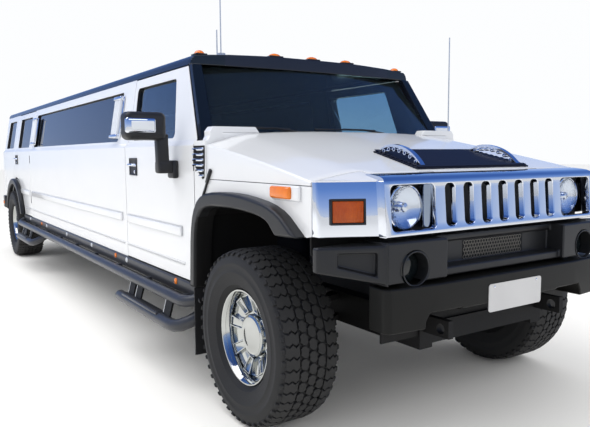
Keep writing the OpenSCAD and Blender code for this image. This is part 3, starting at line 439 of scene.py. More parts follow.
cornerSet = {"back": 3.862, "tip": 4.000, "bend": 0.748, "slope": 0.5101, "drop": 0.235, "least": 1.2193, "hem": 1.2160,
             "lines": (0.711, 0.735, 0.748, 0.79, 0.83, 0.87, 0.91, 0.946),
             "ends": [(0.960, 3.895), (0.968, 3.889), (0.971, 3.882)]}
tips = [(y, cornerSet["tip"] - max(0, y - cornerSet["bend"]) * cornerSet["slope"]) for y in cornerSet["lines"]]
cover = bmesh.new()   # white tops that run from the bonnet's corners to the bright cheeks
rows = []
for y, tip in tips + cornerSet["ends"]:
    rows.append([])
    for k in range(5):
        x = cornerSet["back"] + (tip - cornerSet["back"]) * k / 4
        high = bonnetAt(min(x, bonnetFront), y) - cornerSet["drop"] * max(0, x - bonnetFront) - 0.0015
        rows[-1].append(cover.verts.new((x, y, max(cornerSet["least"], high))))
skinRows(cover, rows, 4)
rim = [e for e in cover.edges if len(e.link_faces) == 1]
for vert in newVerts(bmesh.ops.extrude_edge_only(cover, edges=rim)["geom"]):
    vert.co.z = min(vert.co.z - 0.004, cornerSet["hem"])
placePiece("noseCorners", bothHalves(cover), "whitePaint")
print("bonnet made")


tyreSet = {"steps": 96, "lugs": 48, "lugHeight": 0.0105, "crown": 0.4248, "foot": 0.004, "bead": (0.2175, 0.106),
           "rows": [(0.0, 0.0), (0.0455, 0.5), (-0.0455, 0.5)],   # place across, stagger
           "lobe": [(-0.0265, -0.005), (-0.0265, 0.009), (-0.015, 0.0215), (-0.002, 0.0185), (0.010, 0.0215),
                    (0.0265, 0.005), (0.0265, -0.009), (0.015, -0.0215), (0.002, -0.0185), (-0.010, -0.0215)],
           "shoulder": [(-0.025, 0.0725), (-0.012, 0.089), (-0.026, 0.106), (-0.014, 0.121), (-0.022, 0.139),
                        (0.024, 0.139), (0.034, 0.121), (0.022, 0.106), (0.036, 0.089), (0.023, 0.0725)],
           "half": [(0.4245, 0.0), (0.4242, 0.07), (0.4225, 0.118), (0.417, 0.137), (0.406, 0.1475), (0.390, 0.1535),
                    (0.375, 0.1558), (0.371, 0.1570), (0.362, 0.1570), (0.359, 0.1555), (0.330, 0.1560),
                    (0.3275, 0.1570), (0.322, 0.1570), (0.319, 0.1555), (0.292, 0.1515), (0.268, 0.1400),
                    (0.262, 0.1395), (0.256, 0.1310), (0.244, 0.1200), (0.240, 0.1125), (0.2365, 0.1090)]}


def makeLug(outline):
    foot = tyreSet["foot"]
    bm = drawOut([(x, y, -foot) for x, y in outline], (0, 0, tyreSet["lugHeight"] + foot))
    roundEdges(bm, [e for e in bm.edges if all(v.co.z > 0 for v in e.verts)], 0.0016, 1)
    return bm


def makeTyre():
    half, (inner, bead), crown = tyreSet["half"], tyreSet["bead"], tyreSet["crown"]
    bm = latheRing(half + [(inner, bead), (inner, -bead)] + [(r, -y) for r, y in reversed(half[1:])], tyreSet["steps"])
    pitch = 360 / tyreSet["lugs"]
    for i in range(tyreSet["lugs"]):
        for across, offset in tyreSet["rows"]:
            joinPart(bm, makeLug(tyreSet["lobe"]), turned((i + offset) * pitch, "Y") @ shift(0, across, crown))
        for sign in (1, -1):   # shoulder blocks interlock and dip towards the sidewall
            turn = turned((i + 0.25 * sign) * pitch, "Y")
            block = makeLug([(x, y * sign) for x, y in tyreSet["shoulder"]])
            for vert in block.verts:
                vert.co.z -= 0.012 * max(0.0, (abs(vert.co.y) - 0.085) / 0.054) ** 2
            joinPart(bm, block, turn @ shift(0, 0, crown))
            addBox(bm, (-0.011, -0.010, -0.010), (0.011, 0.010, 0.010), 0.003, 1,
                   turn @ shift(0, sign * 0.1430, 0.4105) @ turned(sign * -40, "X"))
    return bm


rimSet = {"spokes": 8, "hub": 0.106, "frameIn": 0.117, "frameOut": 0.196, "frameHalf": 0.026,
          "barrel": [(0.2362, 0.109), (0.2375, 0.116), (0.2345, 0.1205), (0.228, 0.1200), (0.221, 0.113),
                     (0.212, 0.096), (0.206, 0.076), (0.203, 0.040), (0.202, -0.090), (0.212, -0.106),
                     (0.233, -0.1195), (0.2372, -0.115), (0.2362, -0.109), (0.2165, -0.1055), (0.2165, 0.1055)],
          "dish": [(0.036, 0.010), (0.095, 0.010), (0.150, 0.036), (0.2045, 0.050), (0.2055, 0.064), (0.190, 0.063),
                   (0.150, 0.054), (0.108, 0.036), (0.036, 0.036)]}


def makeRim():
    bm = latheRing(rimSet["barrel"], 72)
    joinPart(bm, latheRing(rimSet["dish"], 64))
    hub, inner, outer, half = (rimSet[k] for k in ("hub", "frameIn", "frameOut", "frameHalf"))
    joinPart(bm, latheRing([(0.0004, 0.030), (hub - 0.010, 0.030), (hub, 0.038), (hub, 0.064), (hub - 0.004, 0.072),
                            (hub - 0.014, 0.077), (hub - 0.020, 0.0755), (0.062, 0.080), (0.030, 0.0825),
                            (0.0004, 0.0830)], 64))
    for i in range(rimSet["spokes"]):
        frameBar = roundBox((-half, 0.0, inner), (half, 0.026, outer))
        for vert in frameBar.verts:   # follows the dish and widens outwards
            share = (vert.co.z - inner) / (outer - inner)
            vert.co.x *= 0.86 + 0.30 * share
            vert.co.y += 0.036 + 0.024 * share
        dishFace(frameBar, 1, 0.0085, 0.0012, 0.012)
        roundEdges(frameBar, sharpEdges(frameBar, 0.6), 0.0016)
        joinPart(bm, frameBar, turned(360 * (i + 0.25) / rimSet["spokes"], "Y"))
    return bm


def makeBrake():
    return latheRing([(0.080, -0.028), (0.168, -0.028), (0.168, -0.004), (0.080, -0.004)], 48)


for endName, axle in (("front", frontAxle), ("rear", rearAxle)):
    for sideName, sign in bothSides:
        wheel = f"{endName}_{sideName}"
        for kind, maker, looks, slot, stands in (
                ("tyre", makeTyre, "rubber treadRubber", "tyre", [f"tyre_{wheel}"]),
                ("rim", makeRim, "rimChromeGrassReflection", "chrome", [f"rim_{wheel}"]),
                ("brakeDisc", makeBrake, "bareMetal", "engine_metal", [])):
            bm = bmesh.new()
            joinPart(bm, maker(), shift(axle, sign * wheelOut, axleHeight) @ flips[sign])
            if kind == "tyre":   # lighter tops of the tread blocks, a painted highlight
                for face in bm.faces:
                    face.material_index = int(len(face.verts) > 8)
            placePiece(f"{kind}_{wheel}_detail", bm, looks, f"wheel_{wheel}", stands, 32)
print("wheels made")


headSet = {"along": 3.9625, "out": 0.575, "high": 1.10, "radius": 0.093, "post": (3.984, 0.446, 1.104)}
along, out, high, r, postSpot = headSet.values()
bm = bmesh.new()
for profile, steps, look in (   # ribbed lens, bright bowl and bulb cap
        ([(r, 0.024), (r, 0.028), (r * 0.80, 0.034), (r * 0.45, 0.0385), (0.0005, 0.040), (0.0005, 0.037),
          (r * 0.44, 0.0355), (r * 0.78, 0.031)], 56, 0),
        ([(r + 0.002, 0.0), (r + 0.006, 0.020), (r + 0.005, 0.030), (r, 0.031), (r * 0.97, 0.024), (r * 0.70, 0.010),
          (r * 0.38, 0.004), (0.0005, 0.003), (0.0005, 0.0)], 56, 1),
        ([(0.0005, 0.003), (0.020, 0.003), (0.021, 0.020), (0.016, 0.027), (0.0005, 0.029)], 32, 1)):
    joinPart(bm, latheRing(profile, steps), shift(along, out, high) @ forwardTurn, look)
post = bmesh.new()   # bright half-round upright beside each lamp, its blue tint a painted sky reflection
bmesh.ops.create_cone(post, cap_ends=True, segments=36, radius1=0.032, radius2=0.032, depth=0.186)
joinPart(bm, post, shift(*postSpot), 2)
placePiece("headlampPair", bothHalves(bm), "lampGlass chrome lampChrome", stands=["headlamps"])

turnSet = {"half": 0.074, "low": 1.040, "high": 1.148, "spot": (3.9538, 0.858, 1.1045), "lean": 27.25, "tip": -4.5}
roofLamps = {"middle": [(2.472, 0.0), (2.467, 0.288), (2.467, -0.288)], "ends": [(2.410, 0.790), (2.410, -0.790)]}
half, low, high, spot, lean, tip = turnSet.values()
onCheek = shift(*spot) @ turned(lean, "Z") @ turned(tip, "Y") @ shift(0, 0, -spot[2])
bm = bmesh.new()   # turn lamps on the cheeks, marker lamps on the wings
addBox(bm, (0.001, 0.010 - half, low + 0.010), (0.009, half - 0.010, high - 0.010), 0.003, 3, onCheek, 3)
bezel = roundBox((0.0003, -half, low), (0.012, half, high))
dishFace(bezel, 0, 0.011, 0.001, 0.008)
roundEdges(bezel, sharpEdges(bezel, 0.5), 0.0025, 3)
joinPart(bm, bezel, onCheek, 1)
addBox(bm, (3.575, 0.976, 1.138), (3.735, 1.006, 1.192), 0.012, 3)
addBox(bm, (3.567, 0.972, 1.130), (3.790, 0.990, 1.1975), 0.010, 3, look=2)
bm = bothHalves(bm)
for group, base, size in (("middle", 1.947, (0.026, 0.044, 0.021)), ("ends", 1.9295, (0.036, 0.031, 0.026))):
    for along, across in roofLamps[group]:
        lens = bmesh.new()
        bmesh.ops.create_uvsphere(lens, u_segments=28, v_segments=14, radius=1.0)
        bmesh.ops.bisect_plane(lens, geom=lens.verts[:] + lens.edges[:] + lens.faces[:], plane_co=(0, 0, 0),
                               plane_no=(0, 0, -1), clear_outer=True)
        joinPart(bm, lens, shift(along, across, base + 0.006) @ Matrix.Diagonal((*size, 1)), 0)
        wide, deep = size[0] + 0.006, size[1] + 0.006
        addBox(bm, (along - wide, across - deep, base + 0.0005), (along + wide, across + deep, base + 0.010), 0.004,
               look=1)
placePiece("amberLampSet", bm, "amberLens blackTrim whitePaint turnLens", stands=["amber_lamps"])
print("lamps made")


noseSet = {"half": 0.735, "low": 0.992, "high": 1.204, "front": 4.055, "lean": 0.0887, "edge": 0.005, "deep": 0.024,
           "middle": 1.1045, "pitch": 0.118, "lampOut": 0.575,
           "slot": (0.032, 1.012, 1.200, 0.026, 0.006),   # half, low, high, corner, inward
           "lamp": (0.128, 1.007, 1.2, 0.028, 0.0),
           "brow": [(4.0362, 1.204), (4.0350, 1.2150), (4.0300, 1.2240), (4.0200, 1.2312), (4.0040, 1.2365),
                    (3.9800, 1.2405), (3.9500, 1.2435), (3.9200, 1.2460), (3.9178, 1.2440), (3.9178, 1.2250)],
           "chin": [(4.0550, 0.992), (4.0545, 0.9890), (4.0520, 0.9868), (4.0480, 0.9860), (4.0000, 0.9860)],
           "cheek": [(3.863, 0.971), (3.888, 0.971), (3.898, 0.968), (3.905, 0.960), (3.909, 0.946), (4.010, 0.748),
                     (4.027, 0.7415), (4.0395, 0.7372), (4.0445, 0.7345), (4.0445, 0.712), (3.990, 0.712),
                     (3.990, 0.730), (3.893, 0.930), (3.863, 0.940)], "cheekLow": 0.990, "cheekTall": 0.229}


def faceAt(z):   # the leaning front face
    return noseSet["front"] - noseSet["lean"] * (z - noseSet["low"])


def loopEdges(bm, ring):
    return [bm.edges.new(pair) for pair in zip(ring, ring[1:] + ring[:1])]


def roundedLoop(bm, spot, half, low, high, corner, grow, deep):   # rounded opening, grown by an edge radius
    ring = []
    for turn in range(32):
        angle = 2 * math.pi * (turn + 0.5) / 32
        side, rise = math.cos(angle), math.sin(angle)
        y = spot + math.copysign(half - corner, side) + (corner + grow) * side
        z = (low + high) / 2 + math.copysign((high - low) / 2 - corner, rise) + (corner + grow) * rise
        ring.append(bm.verts.new((faceAt(z) - deep, y, z)))
    return loopEdges(bm, ring)


bm = bmesh.new()
edge, half, low, high, deep = (noseSet[k] for k in ("edge", "half", "low", "high", "deep"))
corners = ((-half, low), (half, low), (half, high), (-half, high))
flatEdges = loopEdges(bm, [bm.verts.new((faceAt(z), y, z)) for y, z in corners])
openings = [((i - 3) * noseSet["pitch"], *noseSet["slot"]) for i in range(7)]
openings += [(sign * noseSet["lampOut"], *noseSet["lamp"]) for sign in (1, -1)]
for *opening, inward in openings:   # each opening rolls in with a round edge
    rings = [roundedLoop(bm, *opening, grow, sunk) for grow, sunk in (
        (edge, 0.0), (edge * 0.5, edge * 0.13), (edge * 0.13, edge * 0.5), (0.0, edge), (-inward * 0.3, deep * 0.5),
        (-inward, deep))]
    flatEdges += rings[0]
    for a, b in zip(rings, rings[1:]):
        bmesh.ops.bridge_loops(bm, edges=a + b)
bmesh.ops.triangle_fill(bm, use_beauty=True, use_dissolve=False, edges=flatEdges)
for profile in (noseSet["brow"], noseSet["chin"]):   # rolled top and bottom edges
    roll = bmesh.new()
    verts = [roll.verts.new((x, -half, z)) for x, z in profile]
    chain = [roll.edges.new(pair) for pair in zip(verts, verts[1:])]
    grown = newVerts(bmesh.ops.extrude_edge_only(roll, edges=chain)["geom"])
    bmesh.ops.translate(roll, vec=(0, 2 * half, 0), verts=grown)
    joinPart(bm, roll)
for sign in (1, -1):   # end plates
    ends = bmesh.new()
    ends.faces.new([ends.verts.new((x, sign * half, z)) for x, z in noseSet["chin"][::-1] + noseSet["brow"]])
    joinPart(bm, ends)
bmesh.ops.remove_doubles(bm, verts=bm.verts, dist=0.0004)
bmesh.ops.recalc_face_normals(bm, faces=bm.faces)
cheek = drawOut([(x, y, noseSet["cheekLow"]) for x, y in noseSet["cheek"]], (0, 0, noseSet["cheekTall"]))
rear = noseSet["cheek"][0][0]
for vert in cheek.verts:   # sloping cheeks, leaning back as the face does
    vert.co.x -= noseSet["lean"] * (vert.co.z - noseSet["middle"]) * min(1, (vert.co.x - rear) / 0.04)
bmesh.ops.recalc_face_normals(cheek, faces=cheek.faces)
roundEdges(cheek, [e for e in cheek.edges if abs(e.verts[0].co.z - e.verts[1].co.z) < 1e-6], 0.004, 3)
joinPart(bm, bothHalves(cheek))
placePiece("chromeNose", bm, "chrome", stands=["grille_shell"])
print("chrome nose made")


louvreSet = {"front": 3.868, "rear": 3.545, "halfFront": 0.396, "halfRear": 0.366, "slats": 11, "archHigh": 0.058,
             "archHalf": 0.014, "archSteps": 26, "archIn": 0.035, "holes": 7}


def onLouvre(x, y):   # height of the panel's top under a point
    return nodes["hood_louvre"].ray_cast(Vector((x, y, 3.0)), Vector((0, 0, -1)))[1].z


def archAcross(share):
    return louvreSet["halfRear"] - louvreSet["archIn"] + 0.012 * share


def archRise(share):
    return louvreSet["archHigh"] * (1 - abs(2 * share - 1) ** 2.4)


bm = bmesh.new()
rear, louvreLong = louvreSet["rear"], louvreSet["front"] - louvreSet["rear"]
for i in range(louvreSet["slats"]):   # thin blades across the car, each leaning back
    share = i / (louvreSet["slats"] - 1)
    along = rear + share * louvreLong
    half = louvreSet["halfRear"] + share * (louvreSet["halfFront"] - louvreSet["halfRear"]) - 0.006
    blade = roundBox((-0.010, -half, -0.0022), (0.010, half, 0.0022), 0.001, 1)
    cuts = [e for e in blade.edges if abs(e.verts[0].co.y - e.verts[1].co.y) > 0.3]
    bmesh.ops.subdivide_edges(blade, edges=cuts, cuts=7, use_grid_fill=True)
    bmesh.ops.transform(blade, matrix=shift(along, 0, 0) @ turned(24, "Y"), verts=blade.verts)
    for vert in blade.verts:
        vert.co.z += onLouvre(along, max(0.004 - half, min(half - 0.004, vert.co.y))) + 0.0048
    joinPart(bm, blade)
base = bmesh.new()
base.from_mesh(nodes["hood_louvre"].data)
bmesh.ops.remove_doubles(base, verts=base.verts, dist=1e-5)
joinPart(bm, base)
for sign in (1, -1):   # bright carrying arches with a row of round holes
    arch = bmesh.new()
    rows = []
    for i in range(louvreSet["archSteps"] + 1):
        share = i / louvreSet["archSteps"]
        along, across = rear + 0.006 + share * (louvreLong - 0.012), sign * archAcross(share)
        rise = archRise(share)
        high = onLouvre(along, across) + 0.002 + rise
        lower, upper, wide = high - 0.014 * min(1, 12 * rise), high + 0.004, louvreSet["archHalf"]
        rows.append([arch.verts.new((along, across + side, z))
                     for side, z in ((-wide, lower), (-wide, upper), (wide, upper), (wide, lower))])
    skinRows(arch, rows, 4)
    arch.faces.new(rows[0])
    arch.faces.new(rows[-1])
    bmesh.ops.recalc_face_normals(arch, faces=arch.faces)
    joinPart(bm, arch, None, 1)
    for i in range(louvreSet["holes"]):
        share = 0.14 + 0.12 * i
        along, across = rear + share * louvreLong, sign * archAcross(share)
        base = onLouvre(along, across)
        eye = latheRing([(0.0105, -0.0152), (0.0065, -0.0152), (0.0065, 0.0152), (0.0105, 0.0152)], 14)
        joinPart(bm, eye, shift(along, across, base + max(archRise(share) - 0.018, 0.006)), 1)
placePiece("hoodLouvrePanel", bm, "louvreBlack chrome", "hood", ["hood_louvre"])
print("bonnet louvre made")


onSide = shift(0, sideWall, 0)   # y counted out from the body side
ventSet = {"outline": [(2.712, 1.380), (2.858, 1.380), (2.856, 1.300), (2.846, 1.205), (2.826, 1.196), (2.712, 1.276)],
           "bars": 6, "top": 1.366, "pitch": 0.029, "rear": 2.717, "front": 2.852, "knee": 1.280}
bm = bmesh.new()   # side air vent with bright blades
backing = drawOut([(x, 0, z) for x, z in ventSet["outline"]], (0, 0.003, 0))
roundEdges(backing, backing.edges[:], 0.001, 1)
joinPart(bm, backing, onSide @ shift(0, -0.0005, 0))
for i in range(ventSet["bars"]):
    drop = ventSet["pitch"] * i
    high = ventSet["top"] - drop
    rear = ventSet["rear"] + max(0.0, (ventSet["knee"] - high) * 1.36)
    blade = roundBox((rear, 0.001, high - 0.008), (ventSet["front"] - 0.04 * drop, 0.015, high + 0.006))
    for vert in blade.verts:   # each blade droops outwards
        vert.co.z -= 0.4 * vert.co.y
    roundEdges(blade, blade.edges[:], 0.004)
    joinPart(bm, blade, onSide, 1)
placeSides("sideVent", bm, "frameBlack chrome")

cowlSet = {"rear": 2.790, "front": 2.8625, "in": 0.630, "out": 0.900, "end": 0.970, "low": 1.395, "high": 1.4505}
rear, front, inner, outer, end, low, high = cowlSet.values()
bm = roundBox((rear, inner, low), (front, outer, high), 0.004)   # white corner of the cowl under each raised pad
outboard = roundBox((rear, outer - 0.01, low - 0.006), (front, end, high))
for vert in outboard.verts:   # the pad's outer end slopes down to the side
    if vert.co.y > 0.95 and vert.co.z > 1.42:
        vert.co.y -= 0.034
roundEdges(outboard, outboard.edges[:], 0.006, 3)
joinPart(bm, outboard)
placePiece("cowlCorners", bothHalves(bm), "whitePaint")

strapSet = {"top": (2.925, 1.232), "low": (2.800, 1.060),   # links: share of the way down, half width, thickness
            "links": ((0.10, 0.010, 0.014), (0.45, 0.007, 0.010), (0.80, 0.008, 0.010))}
(topX, topZ), (lowX, lowZ), links = strapSet.values()
strapTurn = Matrix.Rotation(math.atan2(topX - lowX, topZ - lowZ), 4, "Y")
bm = bmesh.new()
for sideName, sign in bothSides:   # bonnet hold-down straps, each fixed to the wing below the seam
    for share, half, thick in links:
        spot = shift(topX + share * (lowX - topX), sign * (sideWall + thick / 2), topZ + share * (lowZ - topZ))
        addBox(bm, (-half, -thick / 2, -0.045), (half, thick / 2, 0.045), 0.003, 2, spot @ strapTurn)
    wall = sign * sideWall
    addBox(bm, (lowX - 0.024, wall - 0.001, lowZ - 0.018), (lowX + 0.024, wall + 0.016, lowZ + 0.018), 0.006, 3)
placePiece("bonnetStraps", bm, "blackTrim")
print("wing details made")


stripSet = {"low": 0.850, "high": 0.905, "out": 0.014, "fold": 0.690,
            "runs": {"front_door": (1.55, 2.53), "chassis": (-1.99, 1.425), "rear_door": (-2.76, -2.11)}}
low, high, out, fold, runs = stripSet.values()
for owner, (rear, front) in runs.items():   # rub strips along the sides
    bm = bmesh.new()
    addBox(bm, (rear, -0.001, low), (front, out, high), 0.006, 3, onSide)
    crease = roundBox((rear - 0.03, -0.001, fold - 0.009), (front + 0.03, 0.0035, fold + 0.009))
    for vert in crease.verts:   # soft fold low on the side, fading downwards
        if vert.co.z < fold and vert.co.y > 0:
            vert.co.y = 0.0002
    joinPart(bm, crease, onSide)
    # grey bands painted as the shade under the fold and along the strip's top edge
    addBox(bm, (rear - 0.02, -0.001, fold - 0.010), (front + 0.02, 0.0037, fold), 0.001, 1, onSide, 1)
    addBox(bm, (rear, -0.001, high - 0.004), (front, 0.006, high + 0.006), 0.001, 1, onSide, 1)
    body = owner if owner == "chassis" else owner + "_{}"
    placeSides(f"rubStrip_{owner}", bm, "whitePaint foldGrey", body)

handleSet = {"wide": 0.150, "tall": 0.120,
             "pull": [(0.062, 0.004, 0.010), (0.056, 0.020, 0.012), (0.030, 0.027, 0.013)],
             "doors": {"front_door": (1.690, 1.250), "rear_door": (-2.940, 1.280)}}
wide, tall, pull, doors = handleSet.values()
for owner, (along, high) in doors.items():   # dished plate with a bright pull bar
    spot = shift(along, sideWall, high)
    bm = roundBox((-wide / 2, -0.001, -tall / 2), (wide / 2, 0.007, tall / 2))
    dishFace(bm, 1, 0.010, 0.006, 0.005)
    roundEdges(bm, sharpEdges(bm, 0.5), 0.0018)
    bmesh.ops.transform(bm, matrix=spot, verts=bm.verts)
    joinPart(bm, tubeAlong([(-x, y, z) for x, y, z in pull] + pull[::-1], 0.0095, 12), spot, 1)
    lock = latheRing([(0.0125, 0.0), (0.0125, 0.007), (0.010, 0.009), (0.0005, 0.009), (0.0005, 0.0)], 20)
    joinPart(bm, lock, spot @ shift(0.038, 0.001, -0.035), 1)
    placeSides(f"doorHandle_{owner}", bm, "blackTrim chrome", owner + "_{}")
print("side trim made")


stepSet = {"rear": -2.494, "front": 2.786, "in": 0.906, "side": 0.990, "low": 0.511, "top": 0.5925, "out": 1.050,
           "high": 0.500, "tube": 0.034, "barOut": 1.090, "barHigh": 0.350, "bar": 0.037,
           "hoops": ((1.65, 2.73), (-2.31, -1.42)), "brackets": 9, "ribPitch": 0.032,
           "amber": (2.444, 1.265, -1.431), "pale": (1.524, 0.603, -0.274, -1.171, -2.066)}
rear, front, inner, side, low, top, out, high = list(stepSet.values())[:8]
barOut, barHigh, thick, ribPitch = (stepSet[k] for k in ("barOut", "barHigh", "bar", "ribPitch"))
bm = roundBox((rear, inner, low), (front, side, top), 0.008, 3)
joinPart(bm, tubeAlong([(rear + 0.02, out - 0.06, high + 0.03), (rear + 0.05, out - 0.028, high + 0.014),
                        (rear + 0.10, out, high), (front - 0.12, out, high), (front - 0.07, out - 0.012, high + 0.004),
                        (front - 0.035, out - 0.035, high + 0.012), (front - 0.012, out - 0.068, high + 0.024)],
                       stepSet["tube"], 24))
addBox(bm, (rear + 0.02, 0.899, 0.445), (front - 0.05, 0.907, 0.516), look=4)   # dark skirt under the sill, a dark sheet painted in as the shade beneath the sill
for i in range(stepSet["brackets"]):   # between the sill and the tube
    along = rear + 0.12 + i * (front - rear - 0.30) / (stepSet["brackets"] - 1)
    addBox(bm, (along, side - 0.01, high + 0.006), (along + 0.04, out, high + 0.026), 0.004)
for hoopRear, hoopFront in stepSet["hoops"]:   # drop steps hung on flat plates
    bends = [(hoopRear, 0, 0), (hoopRear + 0.10, 0, 0), (hoopFront - 0.16, 0, 0), (hoopFront - 0.09, 0.006, 0.004),
             (hoopFront - 0.04, 0.026, 0.016), (hoopFront, 0.064, 0.040), (hoopFront + 0.024, 0.112, 0.072),
             (hoopFront + 0.030, 0.150, 0.100)]
    bar = tubeAlong([(x, barOut - inward, barHigh + rise) for x, inward, rise in bends], thick, 24)
    roundEdges(bar, sharpEdges(bar, 1.2), 0.016, 4)
    joinPart(bm, bar)
    padRear, padFront, padHigh = hoopRear + 0.13, hoopFront - 0.30, barHigh + thick
    addBox(bm, (padRear, barOut - 0.030, barHigh + 0.022), (padFront, barOut + 0.030, padHigh + 0.004), 0.006, 3)
    for k in range(int((padFront - padRear) / ribPitch)):   # grip ribs on the tread pad
        along = padRear + 0.022 + k * ribPitch
        addBox(bm, (along - 0.007, barOut - 0.024, padHigh), (along + 0.007, barOut + 0.024, padHigh + 0.0075), 0.002,
               1)
    for along in (hoopRear + 0.19, hoopRear + 0.33, hoopFront - 0.25):   # hangers, each with a chrome strip on its rear edge as a painted highlight
        for start, end, half, upper, look in ((-0.012, 0.082, 0.006, high, 4), (-0.016, -0.009, 0.008, high - 0.02, 3)):
            hanger = roundBox((along + start, out - half, barHigh), (along + end, out + half, upper))
            for vert in hanger.verts:
                vert.co.y += 0.040 * (high - vert.co.z) / (high - barHigh)
            joinPart(bm, hanger, None, look)
for kind, look in (("amber", 1), ("pale", 2)):   # small lamps along the sill board
    for along in stepSet[kind]:
        lamp = latheRing([(0.019, 0.0), (0.019, 0.004), (0.014, 0.008), (0.0004, 0.009), (0.0004, 0.0)], 20)
        joinPart(bm, lamp, shift(along, side - 0.0005, top - 0.023), look)
placeSides("sideStep", bm, "stepGrey amberLens whiteLens chrome frameBlack", rightStands=["side_steps"])
print("side steps made")


mirrorSet = {"along": 2.450, "in": 1.046, "out": 1.291, "low": 1.414, "high": 1.579, "arm": (1.022, 1.092),
             "foot": 1.222}
along, inner, outer, low, high, (armIn, armOut), foot = mirrorSet.values()
middle = (low + high) / 2
bm = roundBox((along - 0.055, inner, low), (along + 0.066, outer, high))
for vert in bm.verts:   # the housing's front tapers in
    if vert.co.x > along:
        vert.co.z = middle + (vert.co.z - middle) * 0.95
        vert.co.y = inner + (vert.co.y - inner) * 0.97 + 0.003
roundEdges(bm, bm.edges[:], 0.034, 6)
addBox(bm, (along + 0.026, inner + 0.066, middle - 0.044), (along + 0.070, outer - 0.001, middle + 0.046), 0.016, 4,
       look=1)   # bright panel in the housing's outer end
addBox(bm, (along + 0.060, inner + 0.080, middle - 0.026), (along + 0.0745, outer - 0.030, middle + 0.026), 0.006, 3,
       look=2)   # paler lamp in it
addBox(bm, (along - 0.058, inner + 0.020, low + 0.022), (along - 0.050, outer - 0.020, high - 0.022), 0.003,
       look=1)   # mirror glass
arm = roundBox((along - 0.030, armIn, foot), (along + 0.030, armOut, low + 0.04))
for vert in arm.verts:
    if vert.co.z > low:
        vert.co.y += 0.006
roundEdges(arm, arm.edges[:], 0.012, 3)
joinPart(bm, arm)
addBox(bm, (along - 0.044, 0.976, foot), (along + 0.034, armOut, foot + 0.074), 0.014, 3)
addBox(bm, (along - 0.054, 0.974, foot - 0.030), (along + 0.044, 1.010, foot + 0.076), 0.012, 3)
placeSides("doorMirror", bm, "blackTrim chrome whiteLens", "front_door_{}", ["mirror_{}"])
print("mirrors made")


coachSet = {"spots": ((1.140, 1.320), (-1.996, -1.815)), "low": 1.450, "high": 1.770, "out": 0.040, "ribs": 5,
            "belt": (0.950, 1.415), "lean": (0.078, 0.453)}
spots, low, high, out, ribs, (beltOut, beltHigh), (leanIn, leanUp) = coachSet.values()
middle, tall = (low + high) / 2, (high - low) / 2
lean = Matrix.Rotation(math.atan2(leanIn, leanUp), 4, "X")
bm = bmesh.new()
for rear, front in spots:
    half = (front - rear) / 2
    spot = shift((rear + front) / 2, beltOut - leanIn * (middle - beltHigh) / leanUp, middle) @ lean
    addBox(bm, (-half, 0.0005, -tall), (half, 0.014, tall), 0.006, 2, spot)
    for i in range(ribs):   # upright frosted flutes between bright ends
        flute = bmesh.new()
        bmesh.ops.create_cone(flute, cap_ends=True, segments=16, radius1=0.0135, radius2=0.0135, depth=2 * tall - 0.050)
        joinPart(bm, flute, spot @ shift(-half + 0.020 + (2 * half - 0.040) * (i + 0.5) / ribs, 0.020, 0), 1)
    for end in (-tall + 0.016, tall - 0.016):
        addBox(bm, (-half + 0.006, 0.004, end - 0.014), (half - 0.006, out, end + 0.014), 0.008, 3, spot)
placeSides("coachLamps", bm, "chrome whiteLens", rightStands=["coach_lamps"])
print("coach lamps made")


plateSet = {"right": -0.173, "left": 0.205, "low": 0.608, "high": 0.737, "x": (4.1102, 4.1140)}
right, left, low, high, (rear, front) = plateSet.values()
bm = bmesh.new()
plate = roundBox((rear, right, low), (front, left, high))
roundEdges(plate, [e for e in plate.edges if abs(e.verts[0].co.x - e.verts[1].co.x) > 0.003], 0.014, 5)
joinPart(bm, plate)
for across in (right + 0.037, left - 0.037):
    screw = latheRing([(0.0055, 0.0), (0.0055, 0.002), (0.004, 0.003), (0.0004, 0.003), (0.0004, 0.0)], 12)
    joinPart(bm, screw, shift(front - 0.0006, across, high - 0.014) @ forwardTurn, 1)
placePiece("frontPlate", bm, "plateGrey chrome")

linerSet = {"low": (2.790, 0.52, 0.605), "high": (2.800, 0.900, 1.190)}   # dark wall behind each front wheel
liner = roundBox(linerSet["low"], linerSet["high"], 0.003, 1)
placePiece("wheelHouseWalls", bothHalves(liner), "frameBlack")

tailSet = {"face": -4.020, "in": 0.817, "out": 0.945, "low": 1.010, "high": 1.300,
           "lenses": ((1.206, 1.289, 0), (1.124, 1.198, 2), (1.021, 1.116, 0)),
           "plate": (0.205, 0.940, 1.062), "reach": 0.115, "pullHigh": 1.135}
tail, inner, outer, low, high, lenses, (half, plateLow, plateHigh), reach, pullHigh = tailSet.values()
bm = bmesh.new()   # tail lamps in a dark bezel, with ribbed lenses
addBox(bm, (tail - 0.009, inner, low), (tail + 0.001, outer, high), 0.004, look=1)
for lensLow, lensHigh, look in lenses:
    addBox(bm, (tail - 0.0155, inner + 0.011, lensLow), (tail - 0.007, outer - 0.011, lensHigh), 0.005, 3, look=look)
placePiece("tailLampPair", bothHalves(bm), "redLens blackTrim whiteLens", stands=["tail_lamps"])

bm = bmesh.new()   # plain plate and a pull bar
addBox(bm, (tail - 0.006, -half - 0.03, plateLow - 0.02), (tail + 0.001, half + 0.03, plateHigh + 0.02), 0.004)
addBox(bm, (tail - 0.009, -half, plateLow), (tail - 0.005, half, plateHigh), 0.0015, look=1)
pull = [(tail + 0.002, reach, pullHigh), (tail - 0.022, reach - 0.008, pullHigh),
        (tail - 0.029, reach - 0.03, pullHigh)]
joinPart(bm, tubeAlong([(x, -y, z) for x, y, z in pull] + pull[::-1], 0.010, 12))
placePiece("tailgateTrim", bm, "blackTrim plateGrey", "tailgate")

